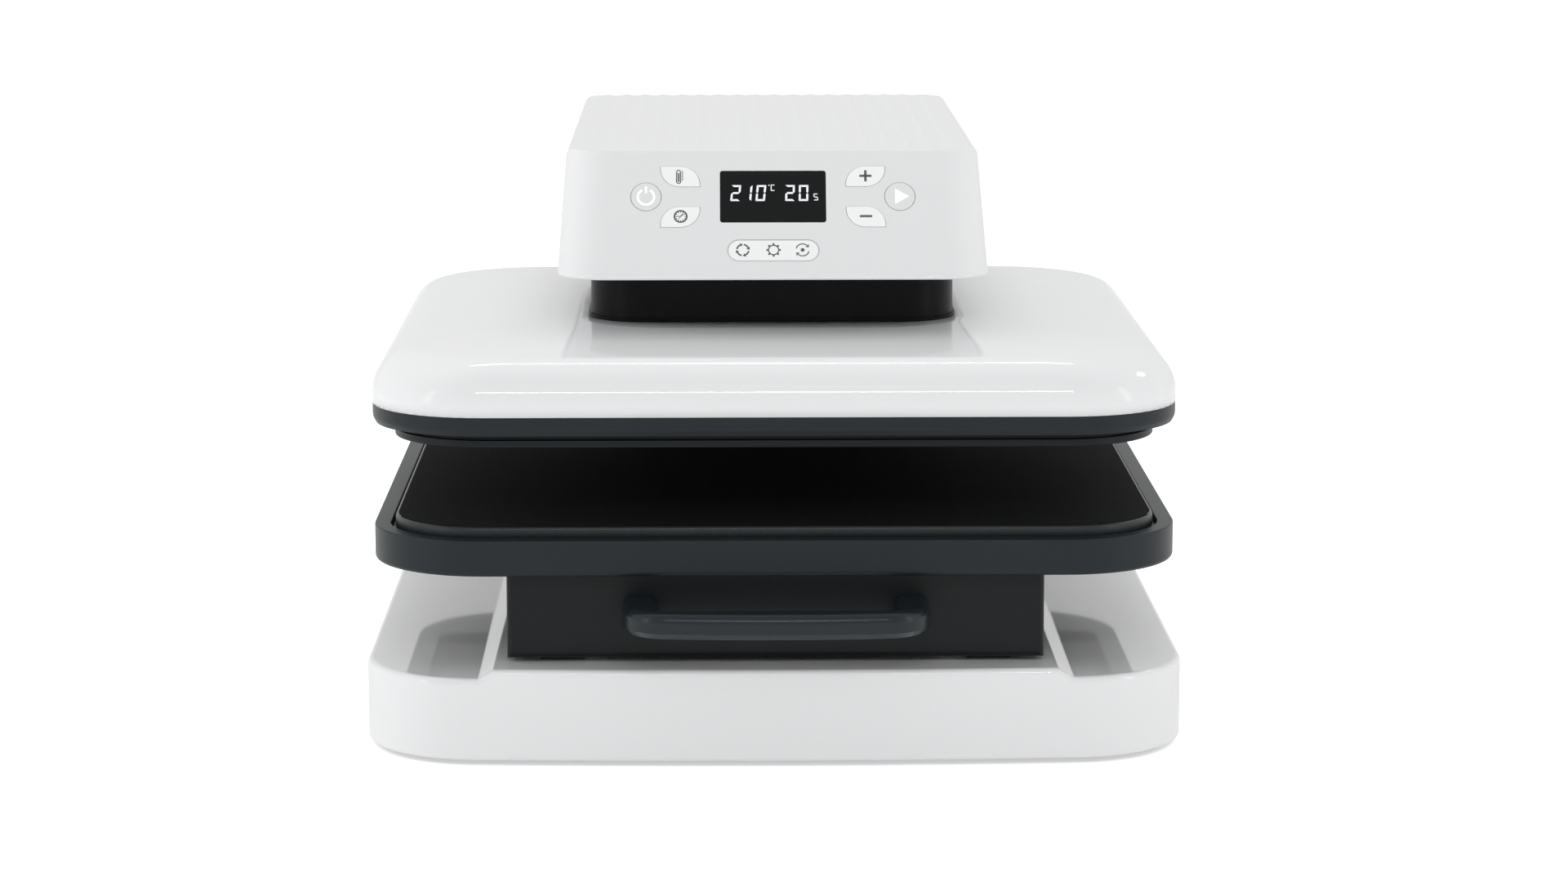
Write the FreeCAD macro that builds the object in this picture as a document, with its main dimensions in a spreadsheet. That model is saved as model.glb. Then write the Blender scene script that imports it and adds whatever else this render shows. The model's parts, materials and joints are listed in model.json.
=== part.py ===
import FreeCAD, Part
import math
import os
import re
import Sketcher
from FreeCAD import Placement, Rotation, Vector

# Automatic drawer-type heat press. Millimetres; X to the right, Y to the back, Z up.
# The origin is on the bench, below the middle of the footprint. Every body is drawn about
# the axis of the press and then moved forward by the dimension "middle".

os.makedirs("parts", exist_ok=True)
doc = FreeCAD.newDocument("HeatPress")
sheet = doc.addObject("Spreadsheet::Sheet", "Dimensions")

SIZES = {
    "middle": 18.525, "gap": 0.05, "wall": 2.5, "shell_wall": 3.0, "play": 0.8,
    "base_half": 205, "base_front": -208, "base_back": 272, "base_low": 2.5,
    "base_corner": 59, "bow_radius": 2666, "floor_high": 43.8,
    "platform_high": 48.4, "platform_half": 139, "step_run": 7.5,
    "foot_radius": 12, "foot_x": 160, "foot_front": 160, "foot_back": 225,
    "plate_low": 3.0, "plate_high": 4.5,
    "frame_inner": 95.8, "frame_outer": 100.3, "frame_front": -150, "frame_back": 258,
    "column_front": 214, "arm_front": -62, "arm_low": 250, "arm_high": 284,
    "lower_arm_high": 38, "bar_size": 16, "bar_front": -130, "bar_back": 192, "bar_low": 14,
    "drive_low": 273, "drive_high": 277, "flange_high": 284, "flange_hole": 280.5,
    "drive_front": -60, "drive_back": 150,
    "shaft_radius": 5, "shaft_x": 62, "shaft_y": 42, "shaft_low": 199,
    "screw_radius": 6, "screw_low": 196, "journal_radius": 5, "bearing_radius": 11,
    "pulley_low": 279, "pulley_high": 285, "pulley_radius": 25, "pinion_radius": 10,
    "belt_thick": 1.5, "motor_y": 115, "motor_low": 234, "motor_half": 18, "axle_radius": 3,
    "platen_half": 200.75, "platen_corner": 57, "trim_low": 163.9, "trim_high": 173.2,
    "trim_inner": 187.5, "dome_start": 179.5, "knee_run": 20, "knee_rise": 18.6,
    "crown_rise": 5.2, "crown_run": 105, "dome_hole_x": 84, "dome_hole_y": 69,
    "heat_half": 190, "heat_low": 156.5, "heat_step": 160.1, "heat_high": 171.5, "heat_corner": 50,
    "element_z": 167.4, "element_radius": 3.5, "element_pitch": 100, "element_reach": 110,
    "board_half": 180, "board_high": 178.1, "backing_half": 170, "backing_high": 181.2,
    "bridge_half": 80, "bridge_foot": 110, "bridge_deep": 55, "bridge_sheet": 4, "bridge_high": 246,
    "anchor_x": 95, "anchor_y": 40,
    "neck_half": 94.2, "neck_deep": 78, "neck_corner": 30, "neck_low": 203.4, "neck_high": 270.5,
    "head_low": 229.6, "head_high": 291.6, "head_half_low": 110, "head_half_high": 106,
    "head_front_low": -116, "head_front_high": -80.2, "head_back": 272, "head_corner": 25,
    "head_edge": 4, "flute_radius": 24.6, "flute_depth": 0.55, "flute_pitch": 10.9,
    "flute_count": 17, "flute_front": -60, "panel_tilt": 30,
    "screen_half": 26.9, "screen_top": 11.0, "screen_bottom": 39.6,
    "pill_half": 23.2, "pill_top": 49.2, "pill_bottom": 61.0,
    "round_radius": 7.65, "round_u": 64.6, "round_v": 25.4,
    "leaf_wide": 19.8, "leaf_high": 11.1, "leaf_arc": 9.8, "leaf_u": 47.2,
    "leaf_upper_v": 14.2, "leaf_lower_v": 36.6, "key_gap": 0.25, "key_proud": 0.3,
    "key_flange": 1.2, "key_deep": 4.3, "circuit_front": 7.4, "circuit_back": 9.0,
    "cover_half": 104, "cover_front": 208, "cover_back": 268.5, "cover_corner": 10,
    "fan_half": 30, "fan_front": 251, "fan_rear": 265.5, "fan_z": 180, "fan_bore": 28,
    "tray_half": 200.5, "tray_low": 94.1, "tray_high": 112.3, "tray_floor": 109.3,
    "tray_recess": 192, "pad_half": 190, "pad_high": 117.3, "pad_corner": 45,
    "drawer_half": 133, "drawer_front": -187, "drawer_back": 163, "drawer_low": 50.4, "drawer_sheet": 2,
    "slide_low": 55, "slide_high": 91, "slide_front": -178, "slide_back": 150, "slide_sheet": 1.3,
    "bracket_inner": 95, "bracket_web": 113, "bracket_outer": 117,
    "grip_half": 75.5, "grip_front": -237, "grip_low": 69.5, "grip_high": 82.5, "grip_corner": 24,
    "post_x": 66, "inlet_x": 68, "rear_z": 25, "rocker_x": 32, "rocker_y": 268, "rocker_swing": 8.9,
}
for row, (name, size) in enumerate(SIZES.items(), start=1):
    sheet.set("A%d" % row, name)
    sheet.set("B%d" % row, str(size))
    sheet.setAlias("B%d" % row, name)
doc.recompute()

PARTS = []


def bound(text):
    """Name the sheet in front of every dimension of an expression."""
    def full(word):
        return "Dimensions." * (word.group(0) in SIZES) + word.group(0)
    return re.sub(r"[a-z][a-z0-9_]*", full, text)


def number(text):
    """Value of an expression of sheet dimensions."""
    return float(sheet.evalExpression(text))


def new_body(label):
    body = doc.addObject("PartDesign::Body", label)
    body.Label = label
    body.AllowCompound = True
    body.setExpression("Placement.Base.y", bound("-middle"))
    PARTS.append(body)
    return body


def new_sketch(body, plane, offset="0"):
    """Empty sketch on an origin plane of the body, moved along the plane's normal."""
    sketch = body.newObject("Sketcher::SketchObject", body.Name + "_outline")
    face = [item for item in body.Origin.OriginFeatures if item.Role == plane + "_Plane"][0]
    sketch.AttachmentSupport = [(face, "")]
    sketch.MapMode = "FlatFace"
    sketch.setExpression("AttachmentOffset.Base.z", bound(offset))
    return sketch


def tie(sketch, kind, text, *places):
    """Dimension constraint bound to an expression."""
    index = sketch.addConstraint(Sketcher.Constraint(kind, *places, number(text)))
    sketch.setExpression("Constraints[%d]" % index, bound(text))


def place_point(sketch, geometry, point, across, up):
    tie(sketch, "DistanceX", across, -1, 1, geometry, point)
    tie(sketch, "DistanceY", up, -1, 1, geometry, point)


def circle(sketch, across, up, radius):
    centre = Vector(number(across), number(up), 0)
    index = sketch.addGeometry(Part.Circle(centre, Vector(0, 0, 1), number(radius)))
    tie(sketch, "Radius", radius, index)
    place_point(sketch, index, 3, across, up)


def polygon(sketch, corners):
    """Closed outline through corners given as pairs of expressions."""
    points = [Vector(number(across), number(up), 0) for across, up in corners]
    first = sketch.GeometryCount
    for here, there in zip(points, points[1:] + points[:1]):
        sketch.addGeometry(Part.LineSegment(here, there))
    for step, (across, up) in enumerate(corners):
        following = first + (step + 1) % len(corners)
        sketch.addConstraint(Sketcher.Constraint("Coincident", first + step, 2, following, 1))
        place_point(sketch, first + step, 1, across, up)


def rectangle(sketch, left, right, low, high):
    polygon(sketch, [(left, low), (right, low), (right, high), (left, high)])


def rounded(sketch, left, right, low, high, radius, bow=None):
    """Rectangle with round corners; with a bow its low side is an arc of that radius."""
    x0, x1, y0, y1, r = [number(text) for text in (left, right, low, high, radius)]
    lift = 0.0
    if bow:
        half = (x1 - x0) / 2 - r
        lift = number(bow) - math.sqrt(number(bow) ** 2 - half ** 2)
    turn = math.pi / 2
    up = Vector(0, 0, 1)
    first = sketch.GeometryCount
    if bow:
        reach = math.asin(half / number(bow))
        arc = Part.Circle(Vector((x0 + x1) / 2, y0 + number(bow), 0), up, number(bow))
        sketch.addGeometry(Part.ArcOfCircle(arc, -turn - reach, -turn + reach))
    else:
        sketch.addGeometry(Part.LineSegment(Vector(x0 + r, y0, 0), Vector(x1 - r, y0, 0)))
    sketch.addGeometry(Part.ArcOfCircle(Part.Circle(Vector(x1 - r, y0 + r + lift, 0), up, r), -turn, 0))
    sketch.addGeometry(Part.LineSegment(Vector(x1, y0 + r + lift, 0), Vector(x1, y1 - r, 0)))
    sketch.addGeometry(Part.ArcOfCircle(Part.Circle(Vector(x1 - r, y1 - r, 0), up, r), 0, turn))
    sketch.addGeometry(Part.LineSegment(Vector(x1 - r, y1, 0), Vector(x0 + r, y1, 0)))
    sketch.addGeometry(Part.ArcOfCircle(Part.Circle(Vector(x0 + r, y1 - r, 0), up, r), turn, 2 * turn))
    sketch.addGeometry(Part.LineSegment(Vector(x0, y1 - r, 0), Vector(x0, y0 + r + lift, 0)))
    corner = Part.Circle(Vector(x0 + r, y0 + r + lift, 0), up, r)
    sketch.addGeometry(Part.ArcOfCircle(corner, 2 * turn, 3 * turn))
    for step in range(8):
        following = first + (step + 1) % 8
        sketch.addConstraint(Sketcher.Constraint("Tangent", first + step, 2, following, 1))
    for side in (2, 6):
        sketch.addConstraint(Sketcher.Constraint("Vertical", first + side))
    sketch.addConstraint(Sketcher.Constraint("Horizontal", first + 4))
    for corner in (3, 5, 7):
        sketch.addConstraint(Sketcher.Constraint("Equal", first + 1, first + corner))
    tie(sketch, "Radius", radius, first + 1)
    tie(sketch, "DistanceX", right, -1, 1, first + 2, 1)
    tie(sketch, "DistanceX", left, -1, 1, first + 6, 1)
    tie(sketch, "DistanceY", high, -1, 1, first + 4, 1)
    if bow:
        tie(sketch, "Radius", bow, first)
        place_point(sketch, first, 3, "(%s + %s) / 2" % (left, right), "%s + %s" % (low, bow))
    else:
        sketch.addConstraint(Sketcher.Constraint("Horizontal", first))
        tie(sketch, "DistanceY", low, -1, 1, first, 1)


def pad(body, sketch, length, reverse=False, both=False):
    doc.recompute()
    feature = body.newObject("PartDesign::Pad", body.Name + "_pad")
    feature.Profile = sketch
    feature.setExpression("Length", bound(length))
    feature.Reversed = reverse
    feature.Midplane = both
    sketch.Visibility = False
    doc.recompute()
    return feature


def pocket(body, sketch, length, reverse=False, both=False):
    """Cut of the given length against the sketch normal, or along it when reversed."""
    doc.recompute()
    before = body.Shape.Volume
    feature = body.newObject("PartDesign::Pocket", body.Name + "_pocket")
    feature.Profile = sketch
    feature.setExpression("Length", bound(length))
    feature.Reversed = reverse
    feature.Midplane = both
    sketch.Visibility = False
    doc.recompute()
    if body.Shape.Volume > before - 0.01:
        raise SystemExit(body.Label + ": a pocket cuts nothing")
    return feature


def loft(body, sketches, kind="Additive", straight=False):
    doc.recompute()
    feature = body.newObject("PartDesign::%sLoft" % kind, body.Name + "_loft")
    feature.Profile = sketches[0]
    feature.Sections = sketches[1:]
    feature.Ruled = straight
    doc.recompute()
    return feature


def along(body, spine, profile, kind="Additive"):
    doc.recompute()
    feature = body.newObject("PartDesign::%sPipe" % kind, body.Name + "_pipe")
    feature.Profile = profile
    feature.Spine = (spine, ["Edge%d" % (step + 1) for step in range(spine.GeometryCount)])
    feature.Mode = "Frenet"
    doc.recompute()
    return feature


def edges(body, chosen):
    """Names of the edges of the body's tip for which chosen(edge) holds."""
    found = [("Edge%d" % step) for step, edge in enumerate(body.Tip.Shape.Edges, start=1) if chosen(edge)]
    if not found:
        raise SystemExit(body.Label + ": no edge to round")
    return found


def fillet(body, chosen, radius, kind="Fillet"):
    doc.recompute()
    names = edges(body, chosen)
    base = body.Tip
    feature = body.newObject("PartDesign::" + kind, body.Name + "_edge")
    feature.Base = (base, names)
    feature.setExpression("Radius" if kind == "Fillet" else "Size", bound(radius))
    doc.recompute()
    return feature


def flat_at(level, axis="ZMin", other="ZMax"):
    """Test for edges that lie in the plane where the coordinate equals the expression."""
    place = number(level)
    return lambda edge: all(abs(getattr(edge.BoundBox, name) - place) < 0.02 for name in (axis, other))


def run_along(axis, shortest=0.5):
    """Test for straight edges parallel to an axis."""
    rest = [name for name in "XYZ" if name != axis]
    def test(edge):
        box = edge.BoundBox
        spans = [getattr(box, name + "Length") for name in rest]
        return max(spans) < 0.01 and getattr(box, axis + "Length") > shortest
    return test


def row_of(body, feature, direction, spacing, count):
    """Linear pattern of a feature along a body axis, spacing from one to the next."""
    pattern = body.newObject("PartDesign::LinearPattern", body.Name + "_row")
    pattern.Originals = [feature]
    axis = [item for item in body.Origin.OriginFeatures if item.Role == direction + "_Axis"][0]
    pattern.Direction = (axis, [""])
    pattern.setExpression("Length", bound("(%s) * (%s - 1)" % (spacing, count)))
    pattern.setExpression("Occurrences", bound(count))
    body.Tip = pattern
    doc.recompute()
    return pattern


def ring_of(body, feature, direction, count):
    """Polar pattern of a feature about a body axis."""
    pattern = body.newObject("PartDesign::PolarPattern", body.Name + "_ring")
    pattern.Originals = [feature]
    axis = [item for item in body.Origin.OriginFeatures if item.Role == direction + "_Axis"][0]
    pattern.Axis = (axis, [""])
    pattern.Angle = 360
    pattern.Occurrences = count
    body.Tip = pattern
    doc.recompute()
    return pattern


def four(across, up):
    """The four points with both signs of two expressions."""
    return [(a + "(" + across + ")", b + "(" + up + ")") for a in ("", "-") for b in ("", "-")]


def turned(body, plane, corners):
    """Ring or disc from a half outline turned about the body's Z axis."""
    sketch = new_sketch(body, plane)
    polygon(sketch, corners)
    doc.recompute()
    feature = body.newObject("PartDesign::Revolution", body.Name + "_turn")
    feature.Profile = sketch
    axis = [item for item in body.Origin.OriginFeatures if item.Role == "Z_Axis"][0]
    feature.ReferenceAxis = (axis, [""])
    feature.Angle = 360
    doc.recompute()
    return feature


def studs(label, points, low, high, radius, head, head_low, head_high):
    """Identical round fasteners standing along Z, each a shank and a head."""
    body = new_body(label)
    shanks = new_sketch(body, "XY", low)
    for across, up in points:
        circle(shanks, across, up, radius)
    pad(body, shanks, "(%s) - (%s)" % (high, low))
    heads = new_sketch(body, "XY", head_low)
    for across, up in points:
        circle(heads, across, up, head)
    pad(body, heads, "(%s) - (%s)" % (head_high, head_low))
    return body


def feet_points():
    return [(side + "foot_x", place) for side in ("-", "") for place in ("-foot_front", "foot_back")]


def base_shell():
    body = new_body("base_shell")
    outline = new_sketch(body, "XY", "base_low")
    rounded(outline, "-base_half", "base_half", "base_front", "base_back", "base_corner", "bow_radius")
    pad(body, outline, "platform_high - base_low")
    sides = new_sketch(body, "XZ")
    for side in ("", "-"):
        polygon(sides, [(side + "platform_half", "platform_high + 1"),
                        (side + "platform_half", "platform_high"),
                        (side + "(platform_half + step_run)", "floor_high"),
                        (side + "(base_half + 1)", "floor_high"),
                        (side + "(base_half + 1)", "platform_high + 1")])
    pocket(body, sides, "1200", both=True)
    inner = number("base_half") - 1
    fillet(body, lambda edge: run_along("Y", 100)(edge) and abs(edge.CenterOfMass.x) < inner, "3")
    fillet(body, lambda edge: edge.BoundBox.ZMin > number("floor_high") - 0.5
           and not run_along("Y", 450)(edge) and edge.BoundBox.YMin < number("base_back"), "3")
    fillet(body, flat_at("base_low"), "2")
    hollow = new_sketch(body, "XY", "base_low")
    rounded(hollow, "-base_half + shell_wall", "base_half - shell_wall", "base_front + shell_wall",
            "base_back - shell_wall", "base_corner - shell_wall", "bow_radius - shell_wall")
    pocket(body, hollow, "floor_high - shell_wall - base_low", reverse=True)
    middle = new_sketch(body, "XY", "base_low")
    rectangle(middle, "-platform_half + 4", "platform_half - 4", "base_front + 8", "base_back - 5")
    pocket(body, middle, "platform_high - shell_wall - base_low", reverse=True)
    opening = new_sketch(body, "XY", "platform_high + 1")
    rectangle(opening, "-frame_outer - 1.5", "frame_outer + 1.5", "column_front - 3", "frame_back + 3")
    pocket(body, opening, "12")
    bosses = new_sketch(body, "XY", "plate_high + gap")
    for across, up in feet_points():
        circle(bosses, across, up, "6")
    pad(body, bosses, "floor_high - shell_wall + 0.7 - plate_high")
    holes = new_sketch(body, "XY", "plate_high")
    for across, up in feet_points():
        circle(holes, across, up, "2")
    pocket(body, holes, "12", reverse=True)
    rear = new_sketch(body, "XZ", "-base_back - 1")
    rectangle(rear, "inlet_x - 14", "inlet_x + 14", "rear_z - 11", "rear_z + 11")
    rectangle(rear, "rocker_x - 6.5", "rocker_x + 6.5", "rear_z - 9.8", "rear_z + 9.8")
    pocket(body, rear, "6", reverse=True)


def base_bottom_plate():
    body = new_body("base_bottom_plate")
    outline = new_sketch(body, "XY", "plate_low")
    rounded(outline, "-base_half + 3.5", "base_half - 3.5", "base_front + 3.5", "base_back - 3.5",
            "base_corner - 3.5", "bow_radius - 3.5")
    pad(body, outline, "plate_high - plate_low")
    slot = new_sketch(body, "XY", "plate_high + 1")
    rounded(slot, "-30", "30", "-60", "-56", "1.9")
    row_of(body, pocket(body, slot, "4"), "Y", "14", "9")
    holes = new_sketch(body, "XY", "plate_high + 1")
    for across, up in feet_points():
        circle(holes, across, up, "2.2")
    pocket(body, holes, "4")


def rubber_feet():
    body = new_body("rubber_feet")
    outline = new_sketch(body, "XY")
    for across, up in feet_points():
        circle(outline, across, up, "foot_radius")
    pad(body, outline, "plate_low")
    holes = new_sketch(body, "XY")
    for across, up in feet_points():
        circle(holes, across, up, "2.05")
    pocket(body, holes, "plate_low", reverse=True)
    seats = new_sketch(body, "XY")
    for across, up in feet_points():
        circle(seats, across, up, "4.2")
    pocket(body, seats, "1.4", reverse=True)
    fillet(body, lambda edge: flat_at("0")(edge) and edge.BoundBox.XLength > 20, "0.8", "Chamfer")


def frame_side(label, side):
    """C-shaped steel plate: an arm in the base, a column and an arm in the head."""
    body = new_body(label)
    outline = new_sketch(body, "YZ", "frame_inner" if side > 0 else "-frame_outer")
    polygon(outline, [("frame_front", "plate_high + gap"), ("frame_back", "plate_high + gap"),
                      ("frame_back", "arm_high"), ("arm_front", "arm_high"), ("arm_front", "arm_low"),
                      ("column_front", "arm_low"), ("column_front", "lower_arm_high"),
                      ("frame_front", "lower_arm_high")])
    pad(body, outline, "frame_outer - frame_inner")
    fillet(body, run_along("X", 4), "7")
    holes = new_sketch(body, "YZ", "-150")
    for across in ("bar_front", "bar_back"):
        circle(holes, across, "bar_low + bar_size / 2", "2.5")
    for across in ("drive_front + 20", "drive_back - 20"):
        circle(holes, across, "flange_hole", "1.5")
    pocket(body, holes, "300", reverse=True)
    light = new_sketch(body, "YZ", "-150")
    circle(light, "(column_front + frame_back) / 2", "80", "13")
    row_of(body, pocket(body, light, "300", reverse=True), "Z", "45", "4")


def cross_bars():
    body = new_body("cross_bars")
    outline = new_sketch(body, "YZ")
    for place in ("bar_front", "bar_back"):
        rectangle(outline, place + " - bar_size / 2", place + " + bar_size / 2",
                  "bar_low", "bar_low + bar_size")
    pad(body, outline, "2 * (frame_inner - gap)", both=True)
    for side in (False, True):
        holes = new_sketch(body, "YZ", "-100" if side else "100")
        for place in ("bar_front", "bar_back"):
            circle(holes, place, "bar_low + bar_size / 2", "2.5")
        pocket(body, holes, "22", reverse=side)


def column_plate():
    body = new_body("column_plate")
    outline = new_sketch(body, "XZ", "-(column_front + 4)")
    rectangle(outline, "-frame_inner + gap", "frame_inner - gap", "60", "244")
    pad(body, outline, "3")
    fillet(body, run_along("Y", 1), "4")
    hole = new_sketch(body, "XZ", "-(column_front + 10)")
    rounded(hole, "-20", "20", "200", "230", "8")
    pocket(body, hole, "20", reverse=True)


def drive_plate():
    """Cross plate between the two upper arms, with a flange along each arm."""
    body = new_body("drive_plate")
    outline = new_sketch(body, "XZ", "-drive_back")
    half = "(frame_inner - gap)"
    polygon(outline, [("-" + half, "drive_low"), (half, "drive_low"), (half, "flange_high"),
                      (half + " - 3", "flange_high"), (half + " - 3", "drive_high"),
                      ("-" + half + " + 3", "drive_high"), ("-" + half + " + 3", "flange_high"),
                      ("-" + half, "flange_high")])
    pad(body, outline, "drive_back - drive_front")
    holes = new_sketch(body, "XY", "drive_high + 1")
    circle(holes, "0", "0", "bearing_radius + 0.02")
    circle(holes, "0", "motor_y", "10.05")
    for across, up in four("shaft_x", "shaft_y"):
        circle(holes, across, up, "shaft_radius + 0.02")
    pocket(body, holes, "8")
    light = new_sketch(body, "XY", "drive_high + 1")
    for side in ("-", ""):
        circle(light, side + "62", "110", "16")
    pocket(body, light, "8")
    threads = new_sketch(body, "YZ", "-150")
    for across in ("drive_front + 20", "drive_back - 20"):
        circle(threads, across, "flange_hole", "1.5")
    pocket(body, threads, "300", reverse=True)


def frame_screws():
    """Round-head screws that hold the cross bars and the drive plate to the side plates."""
    body = new_body("frame_screws")
    for side in (1, -1):
        lead = "" if side > 0 else "-"
        places = [("bar_front", "bar_low + bar_size / 2", "2.45", "4.5", "18", "3"),
                  ("bar_back", "bar_low + bar_size / 2", "2.45", "4.5", "18", "3"),
                  ("drive_front + 20", "flange_hole", "1.45", "2.8", "7", "1.8"),
                  ("drive_back - 20", "flange_hole", "1.45", "2.8", "7", "1.8")]
        for across, up, shank, head, inward, outward in places:
            outline = new_sketch(body, "YZ", lead + "(frame_outer + gap)")
            circle(outline, across, up, shank)
            pad(body, outline, inward, reverse=side > 0)
            cap = new_sketch(body, "YZ", lead + "(frame_outer + gap)")
            circle(cap, across, up, head)
            pad(body, cap, outward, reverse=side < 0)


def screw_bearing():
    body = new_body("screw_bearing")
    turned(body, "XZ", [("journal_radius + gap", "drive_low"), ("bearing_radius", "drive_low"),
                        ("bearing_radius", "drive_high + gap"), ("bearing_radius + 1.5", "drive_high + gap"),
                        ("bearing_radius + 1.5", "drive_high + 1"),
                        ("journal_radius + gap", "drive_high + 1")])


def guide_shafts():
    studs("guide_shafts", four("shaft_x", "shaft_y"), "shaft_low", "drive_high + 1", "shaft_radius",
          "shaft_radius + 2", "drive_high + gap", "drive_high + 2.5")


def lead_screw():
    body = new_body("lead_screw")
    shoulder = "drive_low - 0.3"
    turned(body, "XZ", [("0", "screw_low"), ("screw_radius - 1", "screw_low"),
                        ("screw_radius", "screw_low + 1"),
                        ("screw_radius", shoulder), ("journal_radius", shoulder),
                        ("journal_radius", "pulley_high + 1"), ("0", "pulley_high + 1")])


def flanged_pulley(label, radius, bore, spokes):
    """Belt pulley with a flange at each end, about the body's own Z axis."""
    body = new_body(label)
    rim = radius + " + 2.5"
    turned(body, "XZ", [(bore, "pulley_low"), (rim, "pulley_low"), (rim, "pulley_low + 0.45"),
                        (radius, "pulley_low + 0.45"), (radius, "pulley_high - 0.45"),
                        (rim, "pulley_high - 0.45"), (rim, "pulley_high"), (bore, "pulley_high")])
    if spokes:
        hole = new_sketch(body, "XY", "pulley_high + 1")
        circle(hole, "15", "0", "4")
        ring_of(body, pocket(body, hole, "10"), "Z", spokes)
    return body


def motor_parts():
    body = new_body("drive_motor")
    box = new_sketch(body, "XY", "drive_low - 22")
    rounded(box, "-motor_half", "motor_half", "-motor_half", "motor_half", "4")
    pad(body, box, "22 - gap")
    can = new_sketch(body, "XY", "motor_low")
    circle(can, "0", "0", "motor_half - 0.5")
    pad(body, can, "drive_low - 21 - motor_low")
    boss = new_sketch(body, "XY", "drive_low - 1")
    circle(boss, "0", "0", "10")
    pad(body, boss, "drive_high - drive_low + 1")
    hole = new_sketch(body, "XY", "drive_high + 1")
    circle(hole, "0", "0", "axle_radius + gap")
    pocket(body, hole, "16")
    body.setExpression("Placement.Base.y", bound("motor_y - middle"))
    pinion = flanged_pulley("motor_pulley", "pinion_radius", "0", 0)
    axle = new_sketch(pinion, "XY", "drive_high - 13")
    circle(axle, "0", "0", "axle_radius")
    pad(pinion, axle, "pulley_high - drive_high + 13")
    pinion.setExpression("Placement.Base.y", bound("motor_y - middle"))


def drive_belt():
    """Flat belt round the two pulleys."""
    body = new_body("drive_belt")
    outline = new_sketch(body, "XY", "pulley_low + 0.5")
    slope = math.asin((number("pulley_radius") - number("pinion_radius")) / number("motor_y"))
    for grow in ("0.05", "0.05 + belt_thick"):
        big = number("pulley_radius + " + grow)
        small = number("pinion_radius + " + grow)
        up = Vector(0, 0, 1)
        far = Vector(0, number("motor_y"), 0)
        first = outline.GeometryCount
        outline.addGeometry(Part.ArcOfCircle(Part.Circle(Vector(), up, big),
                            math.pi - slope, 2 * math.pi + slope))
        right = Vector(math.cos(slope), math.sin(slope), 0)
        left = Vector(-math.cos(slope), math.sin(slope), 0)
        outline.addGeometry(Part.LineSegment(right * big, far + right * small))
        outline.addGeometry(Part.ArcOfCircle(Part.Circle(far, up, small), slope, math.pi - slope))
        outline.addGeometry(Part.LineSegment(far + left * small, left * big))
        for step in range(4):
            following = first + (step + 1) % 4
            outline.addConstraint(Sketcher.Constraint("Tangent", first + step, 2, following, 1))
        tie(outline, "Radius", "pulley_radius + " + grow, first)
        tie(outline, "Radius", "pinion_radius + " + grow, first + 2)
        place_point(outline, first, 3, "0", "0")
        place_point(outline, first + 2, 3, "0", "motor_y")
    pad(body, outline, "pulley_high - pulley_low - 1")


def heat_plate():
    body = new_body("heat_plate")
    lip = new_sketch(body, "XY", "heat_low")
    rounded(lip, "-heat_half", "heat_half", "-heat_half", "heat_half", "heat_corner")
    pad(body, lip, "heat_step - heat_low")
    block = new_sketch(body, "XY", "heat_step - 1")
    rounded(block, "-heat_half + 3", "heat_half - 3", "-heat_half + 3", "heat_half - 3", "heat_corner - 3")
    pad(body, block, "heat_high - heat_step + 1")
    fillet(body, flat_at("heat_low"), "0.8")
    spine = element_path(body)
    groove = new_sketch(body, "XZ", "element_reach")
    rectangle(groove, "-1.5 * element_pitch - element_radius - 0.1",
              "-1.5 * element_pitch + element_radius + 0.1",
              "element_z - element_radius - 0.1", "heat_high + 1")
    along(body, spine, groove, "Subtractive")
    holes = new_sketch(body, "XY", "heat_high + 1")
    for across, up in four("anchor_x", "anchor_y"):
        circle(holes, across, up, "2.55")
    circle(holes, "0", "0", "2.6")
    pocket(body, holes, "8")


def element_path(body):
    """Serpentine of four straight runs joined by three half circles."""
    path = new_sketch(body, "XY", "element_z")
    pitch = number("element_pitch")
    reach = number("element_reach")
    up = Vector(0, 0, 1)
    for step in range(4):
        x = (step - 1.5) * pitch
        sense = 1 if step % 2 == 0 else -1
        path.addGeometry(Part.LineSegment(Vector(x, -sense * reach, 0), Vector(x, sense * reach, 0)))
        if step < 3:
            bend = Part.Circle(Vector(x + pitch / 2, sense * reach, 0), up, pitch / 2)
            start = 0 if sense > 0 else math.pi
            path.addGeometry(Part.ArcOfCircle(bend, start, start + math.pi))
    for step in range(4):
        line = 2 * step
        sense = "" if step % 2 == 0 else "-"
        back = "-" if step % 2 == 0 else ""
        place_point(path, line, 1, "(%s) * element_pitch" % (step - 1.5), back + "element_reach")
        place_point(path, line, 2, "(%s) * element_pitch" % (step - 1.5), sense + "element_reach")
    for step in range(3):
        ends = (2, 1) if step % 2 == 0 else (1, 2)
        path.addConstraint(Sketcher.Constraint("Coincident", 2 * step + 1, ends[0], 2 * step, 2))
        path.addConstraint(Sketcher.Constraint("Coincident", 2 * step + 1, ends[1], 2 * step + 2, 1))
        tie(path, "DistanceY", ("" if step % 2 == 0 else "-") + "element_reach", -1, 1, 2 * step + 1, 3)
    return path


def heating_element():
    body = new_body("heating_element")
    spine = element_path(body)
    tube = new_sketch(body, "XZ", "element_reach")
    circle(tube, "-1.5 * element_pitch", "element_z", "element_radius")
    along(body, spine, tube)


def temperature_sensor():
    body = new_body("temperature_sensor")
    outline = new_sketch(body, "XY", "heat_high - 6")
    circle(outline, "0", "0", "2.5")
    pad(body, outline, "backing_high - heat_high + 9")
    collar = new_sketch(body, "XY", "backing_high + gap")
    circle(collar, "0", "0", "5")
    pad(body, collar, "2")


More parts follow.
